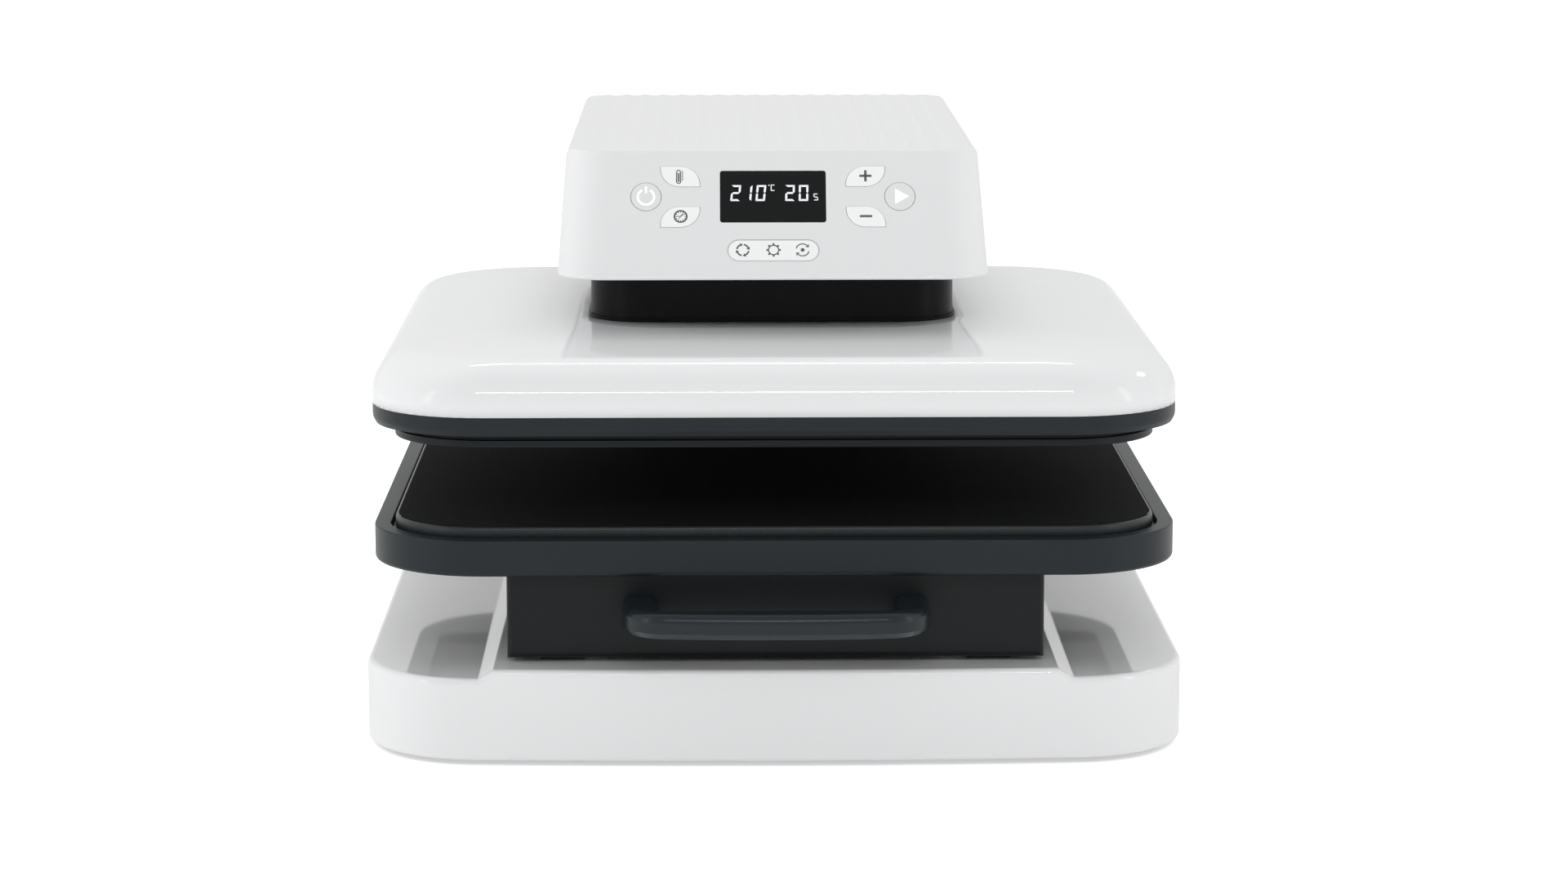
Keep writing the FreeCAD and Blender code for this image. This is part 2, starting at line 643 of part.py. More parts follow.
def insulation_board():
    body = new_body("insulation_board")
    outline = new_sketch(body, "XY", "heat_high + gap")
    rounded(outline, "-board_half", "board_half", "-board_half", "board_half", "42")
    pad(body, outline, "board_high - heat_high - gap")
    stack_holes(body)


def stack_holes(body):
    holes = new_sketch(body, "XY", "backing_high + 1")
    for across, up in four("anchor_x", "anchor_y"):
        circle(holes, across, up, "2.6")
    circle(holes, "0", "0", "2.7")
    pocket(body, holes, "20")


def backing_plate():
    body = new_body("backing_plate")
    outline = new_sketch(body, "XY", "board_high + gap")
    rounded(outline, "-backing_half", "backing_half", "-backing_half", "backing_half", "40")
    pad(body, outline, "backing_high - board_high - gap")
    stack_holes(body)
    light = new_sketch(body, "XY", "backing_high + 1")
    for across, up in four("115", "115"):
        circle(light, across, up, "32")
    pocket(body, light, "6")


def trim_ring():
    body = new_body("trim_ring")
    sections = []
    for level, inset in (("trim_low", "1.5"), ("trim_low + 2.5", "0.2"), ("trim_low + 4", "0"),
                         ("trim_high", "0")):
        ring = new_sketch(body, "XY", level)
        half = "(platen_half - %s)" % inset
        rounded(ring, "-" + half, half, "-" + half, half, "platen_corner - " + inset)
        sections.append(ring)
    loft(body, sections, straight=True)
    hole = new_sketch(body, "XY", "trim_high + 1")
    rounded(hole, "-trim_inner", "trim_inner", "-trim_inner", "trim_inner", "heat_corner - 2.5")
    pocket(body, hole, "20")


def dome_sections(body, inset, drop):
    """Plan outlines of the dome from its rim up: a round knee, then a gentle crown."""
    sections = []
    levels = [("0", "trim_high - dome_start + gap"), ("0", "-3")]
    knee = ["knee_run * (1 - cos(%d)) ; knee_rise * sin(%d)" % (angle, angle) for angle in range(0, 91, 10)]
    levels += [tuple(text.split(" ; ")) for text in knee]
    for part in ("0.2", "0.4", "0.7", "1"):
        levels.append(("knee_run + (crown_run - knee_run) * %s" % part, "knee_rise"))
    for run, rise in levels:
        crown = "crown_rise * (1 - (1 - (%s) / crown_run) ^ 2)" % run
        if number(run) == 0:
            crown = "0"
        ring = new_sketch(body, "XY", "dome_start + %s + %s - %s" % (rise, crown, drop))
        half = "(platen_half - %s - (%s))" % (inset, run)
        radius = "platen_corner - %s - 0.1 * (%s)" % (inset, run)
        rounded(ring, "-" + half, half, "-" + half, half, radius)
        sections.append(ring)
    return sections


def upper_shell():
    body = new_body("upper_shell")
    outer = dome_sections(body, "0", "0")
    loft(body, outer, straight=True)
    inner = dome_sections(body, "shell_wall", "shell_wall")
    loft(body, inner, "Subtractive", straight=True)
    hole = new_sketch(body, "XY", "neck_high")
    rounded(hole, "-dome_hole_x", "dome_hole_x", "-dome_hole_y", "dome_hole_y", "22")
    pocket(body, hole, "80")


def press_bridge():
    """Folded steel bridge that carries the heated platen below the screw nut."""
    body = new_body("press_bridge")
    outline = new_sketch(body, "XZ")
    low = "backing_high + gap"
    right = [("bridge_foot", low), ("bridge_foot", low + " + bridge_sheet"),
             ("bridge_half", low + " + bridge_sheet"),
             ("bridge_half", "bridge_high")]
    inner = [("bridge_half - bridge_sheet", "bridge_high - bridge_sheet"),
             ("bridge_half - bridge_sheet", low)]
    corners = right + [("-(%s)" % across, up) for across, up in reversed(right)]
    corners += [("-(%s)" % across, up) for across, up in reversed(inner)]
    corners += inner
    polygon(outline, corners)
    pad(body, outline, "2 * bridge_deep", both=True)
    top = number("bridge_high") - 0.1
    fillet(body, lambda edge: run_along("Y", 50)(edge) and edge.BoundBox.ZMin > top, "4")
    top = new_sketch(body, "XY", "bridge_high + 1")
    circle(top, "0", "0", "12.02")
    for across, up in four("shaft_x", "shaft_y"):
        circle(top, across, up, "8.02")
    pocket(body, top, "bridge_sheet + 4")
    anchors = new_sketch(body, "XY", "bridge_high + 1")
    for across, up in four("anchor_x", "anchor_y"):
        circle(anchors, across, up, "2.6")
    pocket(body, anchors, "80")


def bridge_screws():
    foot = "backing_high + gap + bridge_sheet"
    studs("bridge_screws", four("anchor_x", "anchor_y"), "heat_high - 6", foot + " + 1", "2.45",
          "4.5", foot + " + gap", foot + " + 3")


def screw_nut():
    body = new_body("screw_nut")
    bore = "screw_radius + gap"
    turned(body, "XZ", [(bore, "bridge_high - 16"), ("12", "bridge_high - 16"), ("12", "bridge_high + gap"),
                        ("18", "bridge_high + gap"), ("18", "bridge_high + 4"), (bore, "bridge_high + 4")])


def guide_bushings():
    body = new_body("guide_bushings")
    tubes = new_sketch(body, "XY", "bridge_high - 12")
    rims = new_sketch(body, "XY", "bridge_high + gap")
    bores = new_sketch(body, "XY", "bridge_high - 13")
    for across, up in four("shaft_x", "shaft_y"):
        circle(tubes, across, up, "8")
        circle(rims, across, up, "11")
        circle(bores, across, up, "shaft_radius + gap")
    pad(body, tubes, "17")
    pad(body, rims, "2")
    pocket(body, bores, "30", reverse=True)


def neck_cover():
    body = new_body("neck_cover")
    foot = new_sketch(body, "XY", "neck_low")
    rounded(foot, "-neck_half - 1.2", "neck_half + 1.2", "-neck_deep - 1.2", "neck_deep + 1.2",
            "neck_corner + 1.2")
    pad(body, foot, "1.6")
    tube = new_sketch(body, "XY", "neck_low + 1")
    rounded(tube, "-neck_half", "neck_half", "-neck_deep", "neck_deep", "neck_corner")
    pad(body, tube, "neck_high - neck_low - 1")
    fillet(body, flat_at("neck_high"), "1.5")
    hollow = new_sketch(body, "XY", "neck_low + 4")
    inner = "neck_corner - wall"
    rounded(hollow, "-neck_half + wall", "neck_half - wall", "-neck_deep + wall", "neck_deep - wall", inner)
    pocket(body, hollow, "neck_high - neck_low", reverse=True)
    hole = new_sketch(body, "XY", "neck_low")
    rounded(hole, "-dome_hole_x", "dome_hole_x", "-dome_hole_y", "dome_hole_y", "22")
    pocket(body, hole, "6", reverse=True)


def on_panel(body, depth="0"):
    """Sketch parallel to the slanted control panel: x to the right, y up the slope."""
    sketch = new_sketch(body, "XZ")
    tilt = number("panel_tilt")
    sketch.setExpression("AttachmentOffset.Base.z", None)
    sketch.AttachmentOffset = Placement(Vector(), Rotation(Vector(1, 0, 0), -tilt))
    sketch.setExpression("AttachmentOffset.Base.y", bound("head_high - (%s) * sin(panel_tilt)" % depth))
    sketch.setExpression("AttachmentOffset.Base.z", bound("-head_front_high - (%s) * cos(panel_tilt)" % depth))
    return sketch


def key_places():
    """Centre across and down the panel of the four leaf-shaped keys and the pointed corners of each."""
    return {"temperature_button": ("-leaf_u", "leaf_upper_v", "falling"),
            "time_button": ("-leaf_u", "leaf_lower_v", "rising"),
            "plus_button": ("leaf_u", "leaf_upper_v", "rising"),
            "minus_button": ("leaf_u", "leaf_lower_v", "falling")}


def leaf(sketch, across, down, grow, lean):
    """Leaf outline: two opposite corners pointed, the other two round."""
    half = "(leaf_wide / 2 + %s)" % grow
    tall = "(leaf_high / 2 + %s)" % grow
    arc = "(leaf_arc + %s)" % grow
    x0 = "%s - %s" % (across, half)
    x1 = "%s + %s" % (across, half)
    y0 = "-(%s) - %s" % (down, tall)
    y1 = "-(%s) + %s" % (down, tall)
    mirror = lean == "rising"
    if mirror:
        x0, x1 = x1, x0
    inward = "-" if mirror else "+"
    outward = "+" if mirror else "-"
    corners = [(x0, y1), (x1 + outward + arc, y1), (x1, y1 + "-" + arc), (x1, y0),
               (x0 + inward + arc, y0), (x0, y0 + "+" + arc)]
    points = [Vector(number(px), number(py), 0) for px, py in corners]
    first = sketch.GeometryCount
    up = Vector(0, 0, 1)
    radius = number(arc)
    turn = math.pi / 2
    sketch.addGeometry(Part.LineSegment(points[0], points[1]))
    upper = Part.Circle(Vector(points[1].x, points[2].y, 0), up, radius)
    lower = Part.Circle(Vector(points[4].x, points[5].y, 0), up, radius)
    if mirror:
        sketch.addGeometry(Part.ArcOfCircle(upper, turn, 2 * turn))
    else:
        sketch.addGeometry(Part.ArcOfCircle(upper, 0, turn))
    sketch.addGeometry(Part.LineSegment(points[2], points[3]))
    sketch.addGeometry(Part.LineSegment(points[3], points[4]))
    if mirror:
        sketch.addGeometry(Part.ArcOfCircle(lower, 3 * turn, 4 * turn))
    else:
        sketch.addGeometry(Part.ArcOfCircle(lower, 2 * turn, 3 * turn))
    sketch.addGeometry(Part.LineSegment(points[5], points[0]))
    ends = (1, 2) if mirror else (2, 1)
    place_point(sketch, first, 1, *corners[0])
    place_point(sketch, first, 2, *corners[1])
    place_point(sketch, first + 2, 1, *corners[2])
    place_point(sketch, first + 2, 2, *corners[3])
    place_point(sketch, first + 3, 2, *corners[4])
    place_point(sketch, first + 5, 1, *corners[5])
    sketch.addConstraint(Sketcher.Constraint("Coincident", first + 2, 2, first + 3, 1))
    sketch.addConstraint(Sketcher.Constraint("Coincident", first + 5, 2, first, 1))
    sketch.addConstraint(Sketcher.Constraint("Coincident", first + 1, ends[0], first, 2))
    sketch.addConstraint(Sketcher.Constraint("Coincident", first + 1, ends[1], first + 2, 1))
    sketch.addConstraint(Sketcher.Constraint("Coincident", first + 4, ends[0], first + 3, 2))
    sketch.addConstraint(Sketcher.Constraint("Coincident", first + 4, ends[1], first + 5, 1))
    tie(sketch, "Radius", arc, first + 1)
    tie(sketch, "Radius", arc, first + 4)


def screen_outline(sketch, grow):
    rounded(sketch, "-screen_half - " + grow, "screen_half + " + grow, "-screen_bottom - " + grow,
            "-screen_top + " + grow, "1.3 + " + grow)


def pill_outline(sketch, grow):
    rounded(sketch, "-pill_half - " + grow, "pill_half + " + grow, "-pill_bottom - " + grow,
            "-pill_top + " + grow, "5.8 + " + grow)


def head_section(body, level, inset, back_inset, extra="0"):
    """Plan outline of the control head at a level; the front leans back with height."""
    rise = "((%s - head_low) / (head_high - head_low))" % level
    half = "(head_half_low + (head_half_high - head_half_low) * %s - %s - %s)" % (rise, inset, extra)
    front = "head_front_low + (head_front_high - head_front_low) * %s + %s / cos(panel_tilt)" % (rise, inset)
    sketch = new_sketch(body, "XY", level)
    rounded(sketch, "-" + half, half, front, "head_back - " + back_inset, "head_corner - " + inset)
    return sketch


def head_shell():
    body = new_body("head_shell")
    outside = [head_section(body, level, "0", "0") for level in ("head_low", "head_high")]
    loft(body, outside, straight=True)
    corners = new_sketch(body, "XZ")
    for side in (1, -1):
        lead = "" if side > 0 else "-"
        edge = "(head_half_high + 0.15)"
        first = corners.GeometryCount
        r = number("head_edge")
        centre = Vector(side * (number(edge) - r), number("head_high") - r, 0)
        arc = Part.Circle(centre, Vector(0, 0, 1), r)
        start = 0 if side > 0 else math.pi / 2
        corners.addGeometry(Part.ArcOfCircle(arc, start, start + math.pi / 2))
        low_end = 1 if side > 0 else 2
        high_end = 2 if side > 0 else 1
        tie(corners, "Radius", "head_edge", first)
        place_point(corners, first, 3, lead + "(head_half_high + 0.15 - head_edge)", "head_high - head_edge")
        tie(corners, "DistanceY", "head_high - head_edge", -1, 1, first, low_end)
        tie(corners, "DistanceX", lead + "(head_half_high + 0.15 - head_edge)", -1, 1, first, high_end)
        outer = [(lead + edge, "head_high - head_edge"),
                 (lead + "(head_half_low + 5)", "head_high - head_edge"),
                 (lead + "(head_half_low + 5)", "head_high + 1"),
                 (lead + "(head_half_high + 0.15 - head_edge)", "head_high + 1"),
                 (lead + "(head_half_high + 0.15 - head_edge)", "head_high")]
        points = [Vector(number(px), number(py), 0) for px, py in outer]
        for step in range(4):
            corners.addGeometry(Part.LineSegment(points[step], points[step + 1]))
        for step in range(3):
            place_point(corners, first + 1 + step, 2, *outer[step + 1])
        corners.addConstraint(Sketcher.Constraint("Coincident", first + 4, 2, first, high_end))
        for step in range(3):
            corners.addConstraint(Sketcher.Constraint("Coincident", first + 1 + step, 2, first + 2 + step, 1))
        corners.addConstraint(Sketcher.Constraint("Coincident", first + 1, 1, first, low_end))
    pocket(body, corners, "1200", both=True)
    fillet(body, flat_at("head_low"), "1.2")
    hollow = [head_section(body, "head_low", "wall", "wall"),
              head_section(body, "head_high - head_edge", "wall", "wall"),
              head_section(body, "head_high - wall", "wall", "wall", "7")]
    loft(body, hollow, "Subtractive", straight=True)
    flute = new_sketch(body, "XZ", "-flute_front")
    circle(flute, "-flute_pitch * (flute_count - 1) / 2", "head_high - flute_depth + flute_radius",
           "flute_radius")
    row_of(body, pocket(body, flute, "600", reverse=False), "X", "flute_pitch", "flute_count")
    posts = on_panel(body, "wall - 0.2")
    for across, up in (("-80", "-12"), ("80", "-12"), ("-80", "-56"), ("80", "-56")):
        circle(posts, across, up, "3.2")
    pad(body, posts, "circuit_front - gap - wall + 0.2", reverse=True)
    threads = on_panel(body, "circuit_front")
    for across, up in (("-80", "-12"), ("80", "-12"), ("-80", "-56"), ("80", "-56")):
        circle(threads, across, up, "1.25")
    pocket(body, threads, "4", reverse=True)
    windows = on_panel(body, "-1")
    screen_outline(windows, "0.1")
    pill_outline(windows, "0.1")
    for side in ("-", ""):
        circle(windows, side + "round_u", "-round_v", "round_radius + key_gap")
    for across, down, lean in key_places().values():
        leaf(windows, across, down, "key_gap", lean)
    pocket(body, windows, "5")
    return body


def head_bottom_cover():
    body = new_body("head_bottom_cover")
    outline = new_sketch(body, "XY", "head_low + 0.4")
    half = "(head_half_low - wall - 0.3)"
    rounded(outline, "-" + half, half, "head_front_low + wall + 2.6", "head_back - wall - 0.3",
            "head_corner - wall - 0.3")
    pad(body, outline, "2")
    hole = new_sketch(body, "XY", "head_low + 4")
    rounded(hole, "-neck_half - play", "neck_half + play", "-neck_deep - play", "neck_deep + play",
            "neck_corner + play")
    pocket(body, hole, "8")
    column = new_sketch(body, "XY", "head_low + 4")
    rectangle(column, "-frame_outer - 1", "frame_outer + 1", "column_front - 2", "head_back + 5")
    pocket(body, column, "8")


def window_part(label, outline, low, high):
    """Clear or dark insert set into the panel."""
    body = new_body(label)
    shape = on_panel(body, high)
    outline(shape, "0")
    pad(body, shape, "(%s) - (%s)" % (low, high), reverse=True)
    return body


def display_window():
    window_part("display_window", screen_outline, "2.4", "0.15")


def status_window():
    window_part("status_window", pill_outline, "2.4", "0.1")


def circuit_parts():
    """Control board with its display block and six key switches, and its screws."""
    body = new_body("control_board")
    outline = on_panel(body, "circuit_back")
    rounded(outline, "-88", "88", "-62", "-6", "2")
    pad(body, outline, "circuit_back - circuit_front")
    parts = on_panel(body, "circuit_front + 0.2")
    rectangle(parts, "-25", "25", "-37.5", "-13")
    for across, down in switch_places():
        rectangle(parts, across + " - 3", across + " + 3", "-(%s) - 3" % down, "-(%s) + 3" % down)
    pad(body, parts, "circuit_front + 0.2 - key_deep - play - gap")
    holes = on_panel(body, "0")
    for across, up in (("-80", "-12"), ("80", "-12"), ("-80", "-56"), ("80", "-56")):
        circle(holes, across, up, "1.3")
    pocket(body, holes, "20")
    screws = new_body("board_screws")
    shanks = on_panel(screws, "circuit_back + gap")
    heads = on_panel(screws, "circuit_back + gap")
    for across, up in (("-80", "-12"), ("80", "-12"), ("-80", "-56"), ("80", "-56")):
        circle(shanks, across, up, "1.2")
        circle(heads, across, up, "2.4")
    pad(screws, shanks, "4.8")
    pad(screws, heads, "1.4", reverse=True)


def switch_places():
    places = [(across, down) for across, down, lean in key_places().values()]
    return places + [("-round_u", "round_v"), ("round_u", "round_v")]


def round_key(label, side):
    body = new_body(label)
    cap = on_panel(body, "key_deep - 0.5")
    circle(cap, side + "round_u", "-round_v", "round_radius")
    pad(body, cap, "key_deep - 0.5 + key_proud")
    middle = body.Shape.BoundBox.Center.z
    fillet(body, lambda edge: edge.BoundBox.XLength > 14 and edge.CenterOfMass.z > middle, "0.25")
    rim = on_panel(body, "key_deep")
    circle(rim, side + "round_u", "-round_v", "round_radius + key_flange")
    pad(body, rim, "1")


def leaf_key(label, across, down, lean):
    body = new_body(label)
    cap = on_panel(body, "key_deep - 0.5")
    leaf(cap, across, down, "0", lean)
    pad(body, cap, "key_deep - 0.5 + key_proud")
    rim = on_panel(body, "key_deep")
    leaf(rim, across, down, "key_flange", lean)
    pad(body, rim, "1")


def column_cover():
    body = new_body("column_cover")
    outline = new_sketch(body, "XY", "platform_high + gap")
    rounded(outline, "-cover_half", "cover_half", "cover_front", "cover_back", "cover_corner")
    pad(body, outline, "head_low - gap - platform_high - gap")
    hollow = new_sketch(body, "XY", "platform_high")
    rounded(hollow, "-cover_half + wall", "cover_half - wall", "cover_front + wall", "cover_back - wall",
            "cover_corner - wall")
    pocket(body, hollow, "300", reverse=True)
    slot = new_sketch(body, "XZ", "-cover_back - 1")
    rounded(slot, "-26", "26", "fan_z - 27.5", "fan_z - 24.5", "1.4")
    row_of(body, pocket(body, slot, "5", reverse=True), "Z", "6.5", "9")


def power_board():
    body = new_body("power_board")
    outline = new_sketch(body, "XZ", "-231")
    rectangle(outline, "-60", "60", "70", "142")
    pad(body, outline, "1.6")
    parts = new_sketch(body, "XZ", "-230.8")
    rectangle(parts, "-52", "-18", "78", "108")
    rectangle(parts, "-8", "18", "80", "96")
    circle(parts, "36", "90", "9")
    circle(parts, "36", "118", "7")
    rectangle(parts, "-40", "10", "116", "134")
    pad(body, parts, "18", reverse=True)
    posts = new_sketch(body, "XZ", "-232.5")
    for across, up in (("-54", "74"), ("54", "74"), ("-54", "138"), ("54", "138")):
        circle(posts, across, up, "2.5")
    pad(body, posts, "232.5 - column_front - 4 - gap")


def fan_frame():
    """Square fan housing with a round duct and a hub carried on three arms at the rear."""
    body = new_body("fan_frame")
    outline = new_sketch(body, "XZ", "-fan_rear")
    rounded(outline, "-fan_half", "fan_half", "-fan_half", "fan_half", "4")
    pad(body, outline, "fan_rear - fan_front")
    duct = new_sketch(body, "XZ", "-fan_front")
    circle(duct, "0", "0", "fan_bore")
    pocket(body, duct, "40", both=True)
    hub = new_sketch(body, "XZ", "-fan_rear")
    circle(hub, "0", "0", "12")
    pad(body, hub, "1.5")
    arm = new_sketch(body, "XZ", "-fan_rear")
    rectangle(arm, "10", "fan_bore + 1", "-1.5", "1.5")
    ring_of(body, pad(body, arm, "1.5"), "Y", 3)
    holes = new_sketch(body, "XZ", "-fan_front + 1")
    for across, up in four("fan_half - 5", "fan_half - 5"):
        circle(holes, across, up, "2")
    pocket(body, holes, "40", both=True)
    body.setExpression("Placement.Base.z", bound("fan_z"))


def fan_rotor():
    body = new_body("fan_rotor")
    hub = new_sketch(body, "XZ", "-fan_rear + 2.5")
    circle(hub, "0", "0", "12")
    pad(body, hub, "fan_rear - fan_front - 3.5")
    fillet(body, flat_at("fan_front + 1", "YMin", "YMax"), "1.5")
    blade = new_sketch(body, "YZ", "10")
    polygon(blade, [("fan_front + 2", "-6"), ("fan_front + 3.6", "-6"), ("fan_rear - 3", "6"),
                    ("fan_rear - 4.6", "6")])
    ring_of(body, pad(body, blade, "fan_bore - 12"), "Y", 7)
    body.setExpression("Placement.Base.z", bound("fan_z"))


def power_inlet():
    body = new_body("power_inlet")
    rim = new_sketch(body, "XZ", "-base_back - gap")
    rounded(rim, "-20", "20", "-14", "14", "3")
    pad(body, rim, "2", reverse=True)
    block = new_sketch(body, "XZ", "-base_back - 0.5")
    rounded(block, "-13.8", "13.8", "-10.8", "10.8", "3")
    pad(body, block, "22")
    cavity = new_sketch(body, "XZ", "-base_back - 4")
    rounded(cavity, "-12", "12", "-8.5", "8.5", "2.5")
    pocket(body, cavity, "20", reverse=True)
    blades = new_sketch(body, "XZ", "-base_back + 18")
    rectangle(blades, "-8", "-6", "-3.5", "0.5")
    rectangle(blades, "6", "8", "-3.5", "0.5")
    rectangle(blades, "-1", "1", "1.5", "5.5")
    pad(body, blades, "15", reverse=True)
    body.setExpression("Placement.Base.x", bound("inlet_x"))
    body.setExpression("Placement.Base.z", bound("rear_z"))


def switch_parts():
    body = new_body("switch_frame")
    rim = new_sketch(body, "XZ", "-base_back - gap")
    rounded(rim, "-8.5", "8.5", "-11.7", "11.7", "1.5")
    pad(body, rim, "1.5", reverse=True)
    block = new_sketch(body, "XZ", "-base_back - 0.5")
    rectangle(block, "-6.4", "6.4", "-9.7", "9.7")
    pad(body, block, "17")
    cavity = new_sketch(body, "XZ", "-base_back - 4")
    rectangle(cavity, "-5.3", "5.3", "-9.1", "9.1")
    pocket(body, cavity, "base_back + 4 - rocker_y + 9.1", reverse=True)
    body.setExpression("Placement.Base.x", bound("rocker_x"))
    body.setExpression("Placement.Base.z", bound("rear_z"))
    rocker = new_body("power_rocker")
    disc = new_sketch(rocker, "YZ")
    circle(disc, "0", "0", "rocker_swing")
    pad(rocker, disc, "10", both=True)
    faces = new_sketch(rocker, "YZ")
    polygon(faces, [("5.6", "0"), ("3.9", "10"), ("14", "10"), ("14", "-10"), ("3.9", "-10")])
    pocket(rocker, faces, "30", both=True)
    fillet(rocker, run_along("X", 5), "0.3")
    rocker.Placement = Placement(Vector(0, 0, 0), Rotation(Vector(1, 0, 0), -9.6))
    rocker.setExpression("Placement.Base.x", bound("rocker_x"))
    rocker.setExpression("Placement.Base.y", bound("rocker_y - middle"))
    rocker.setExpression("Placement.Base.z", bound("rear_z"))


def tray():
    body = new_body("tray")
    outline = new_sketch(body, "XY", "tray_low")
    rounded(outline, "-tray_half", "tray_half", "-tray_half", "tray_half", "platen_corner")
    pad(body, outline, "tray_high - tray_low")
    recess = new_sketch(body, "XY", "tray_high + 1")
    rounded(recess, "-tray_recess", "tray_recess", "-tray_recess", "tray_recess", "pad_corner + 2")
    pocket(body, recess, "tray_high + 1 - tray_floor")
    fillet(body, lambda edge: flat_at("tray_low")(edge), "2.5")
    fillet(body, lambda edge: flat_at("tray_high")(edge), "0.7")
    under = new_sketch(body, "XY", "tray_low")
    rounded(under, "-85", "85", "-150", "125", "12")
    rounded(under, "140", "188", "-140", "140", "12")
    rounded(under, "-188", "-140", "-140", "140", "12")
    pocket(body, under, "11", reverse=True)
    holes = new_sketch(body, "XY", "tray_low")
    for across, up in tray_screw_points():
        circle(holes, across, up, "2.5")
    pocket(body, holes, "10", reverse=True)


def tray_screw_points():
    return [(side + "100", place) for side in ("-", "") for place in ("-165", "140")]


def silicone_pad():
    body = new_body("silicone_pad")
    outline = new_sketch(body, "XY", "tray_floor + gap")
    rounded(outline, "-pad_half", "pad_half", "-pad_half", "pad_half", "pad_corner")
    pad(body, outline, "pad_high - tray_floor - gap")
    fillet(body, flat_at("pad_high"), "1.6")


def drawer_box():
    """Folded sheet drawer, open below and behind."""
    body = new_body("drawer_box")
    outline = new_sketch(body, "XY", "drawer_low")
    rectangle(outline, "-drawer_half", "drawer_half", "drawer_front", "drawer_back")
    pad(body, outline, "tray_low - gap - drawer_low")
    front = flat_at("drawer_front", "YMin", "YMax")
    upright = run_along("Z")
    low = number("tray_low") - 1
    fillet(body, lambda edge: front(edge) and (upright(edge) or edge.BoundBox.ZMax < low), "3")
    inside = new_sketch(body, "XY", "drawer_low")
    rectangle(inside, "-drawer_half + drawer_sheet", "drawer_half - drawer_sheet",
              "drawer_front + drawer_sheet + 1",
              "drawer_back + 5")
    pocket(body, inside, "tray_low - gap - drawer_sheet - drawer_low", reverse=True)
    holes = new_sketch(body, "XY", "tray_low - 10")
    for across, up in tray_screw_points():
        circle(holes, across, up, "2.6")
    pocket(body, holes, "20", reverse=True)
    grips = new_sketch(body, "XZ", "-drawer_front - 10")
    for side in ("-", ""):
        circle(grips, side + "post_x", "(grip_low + grip_high) / 2", "2.6")
    pocket(body, grips, "20", reverse=True)


def drawer_handle():
    """Flat U-shaped grip; both ends stand on the drawer front."""
    body = new_body("drawer_handle")
    outline = new_sketch(body, "XY", "grip_low")
    rounded(outline, "-grip_half", "grip_half", "grip_front", "drawer_front + 40", "grip_corner", "500")
    pad(body, outline, "grip_high - grip_low")
    inside = new_sketch(body, "XY", "grip_low - 1")
    rounded(inside, "-grip_half + 17", "grip_half - 17", "grip_front + 14", "drawer_front + 39", "9")
    pocket(body, inside, "40", reverse=True)
    behind = new_sketch(body, "XY", "grip_low - 1")
    rectangle(behind, "-grip_half - 5", "grip_half + 5", "drawer_front - gap", "drawer_front + 60")
    pocket(body, behind, "40", reverse=True)
    for level, radius, kind in (("grip_high", "5", "Fillet"), ("grip_low", "3", "Chamfer")):
        flat = flat_at(level)
        ahead = number("drawer_front") - 1
        fillet(body, lambda edge: flat(edge) and edge.BoundBox.YMin < ahead, radius, kind)
    holes = new_sketch(body, "XZ", "-drawer_front - 20")
    for side in ("-", ""):
        circle(holes, side + "post_x", "(grip_low + grip_high) / 2", "2.5")
    pocket(body, holes, "40", reverse=True)


def drawer_screws():
    """Screws up into the tray and forward into the handle, from inside the drawer."""
    under = "tray_low - gap - drawer_sheet"
    body = studs("drawer_screws", tray_screw_points(), under + " - 1", under + " + 10", "2.45", "4.5",
                 under + " - gap - 2.5", under + " - gap")
    inner = "drawer_front + drawer_sheet + 1"
    shanks = new_sketch(body, "XZ", "-(%s) - 1" % inner)
    heads = new_sketch(body, "XZ", "-(%s) - gap" % inner)
    for side in ("-", ""):
        circle(shanks, side + "post_x", "(grip_low + grip_high) / 2", "2.45")
        circle(heads, side + "post_x", "(grip_low + grip_high) / 2", "4.5")
    pad(body, shanks, "14")
    pad(body, heads, "2.5", reverse=True)


def slide_brackets():
    body = new_body("slide_brackets")
    outline = new_sketch(body, "XZ", "-slide_back")
    for side in ("-", ""):
        inner, web, outer = [side + "bracket_" + name for name in ("inner", "web", "outer")]
        polygon(outline, [(inner, "platform_high + gap"), (outer, "platform_high + gap"),
                          (outer, "slide_high - 1"), (web, "slide_high - 1"),
                          (web, "platform_high + 3"), (inner, "platform_high + 3")])
    pad(body, outline, "slide_back - slide_front")


def channel(label, side, back, lip, low, high):
    """Length of C-section slide: a web at X = back with a lip at each edge reaching X = lip."""
    body = new_body(label)
    outward = number(lip) > number(back)
    thick = "slide_sheet" if outward else "-slide_sheet"
    lead = "" if side > 0 else "-"
    web = back + " + " + thick
    corners = [(back, low), (lip, low), (lip, low + " + slide_sheet"), (web, low + " + slide_sheet"),
               (web, high + " - slide_sheet"), (lip, high + " - slide_sheet"), (lip, high), (back, high)]
    outline = new_sketch(body, "XZ", "-slide_back")
    polygon(outline, [(lead + "(" + across + ")", up) for across, up in corners])
    pad(body, outline, "slide_back - slide_front")


def slides():
    for name, side in (("left", -1), ("right", 1)):
        channel("slide_outer_" + name, side, "bracket_outer + gap", "129", "slide_low", "slide_high")
        channel("slide_middle_" + name, side, "bracket_outer + gap + 2", "129", "slide_low + 2.6",
                "slide_high - 2.6")
        channel("slide_inner_" + name, side, "drawer_half - drawer_sheet - gap", "122", "slide_low + 5.4",
                "slide_high - 5.4")


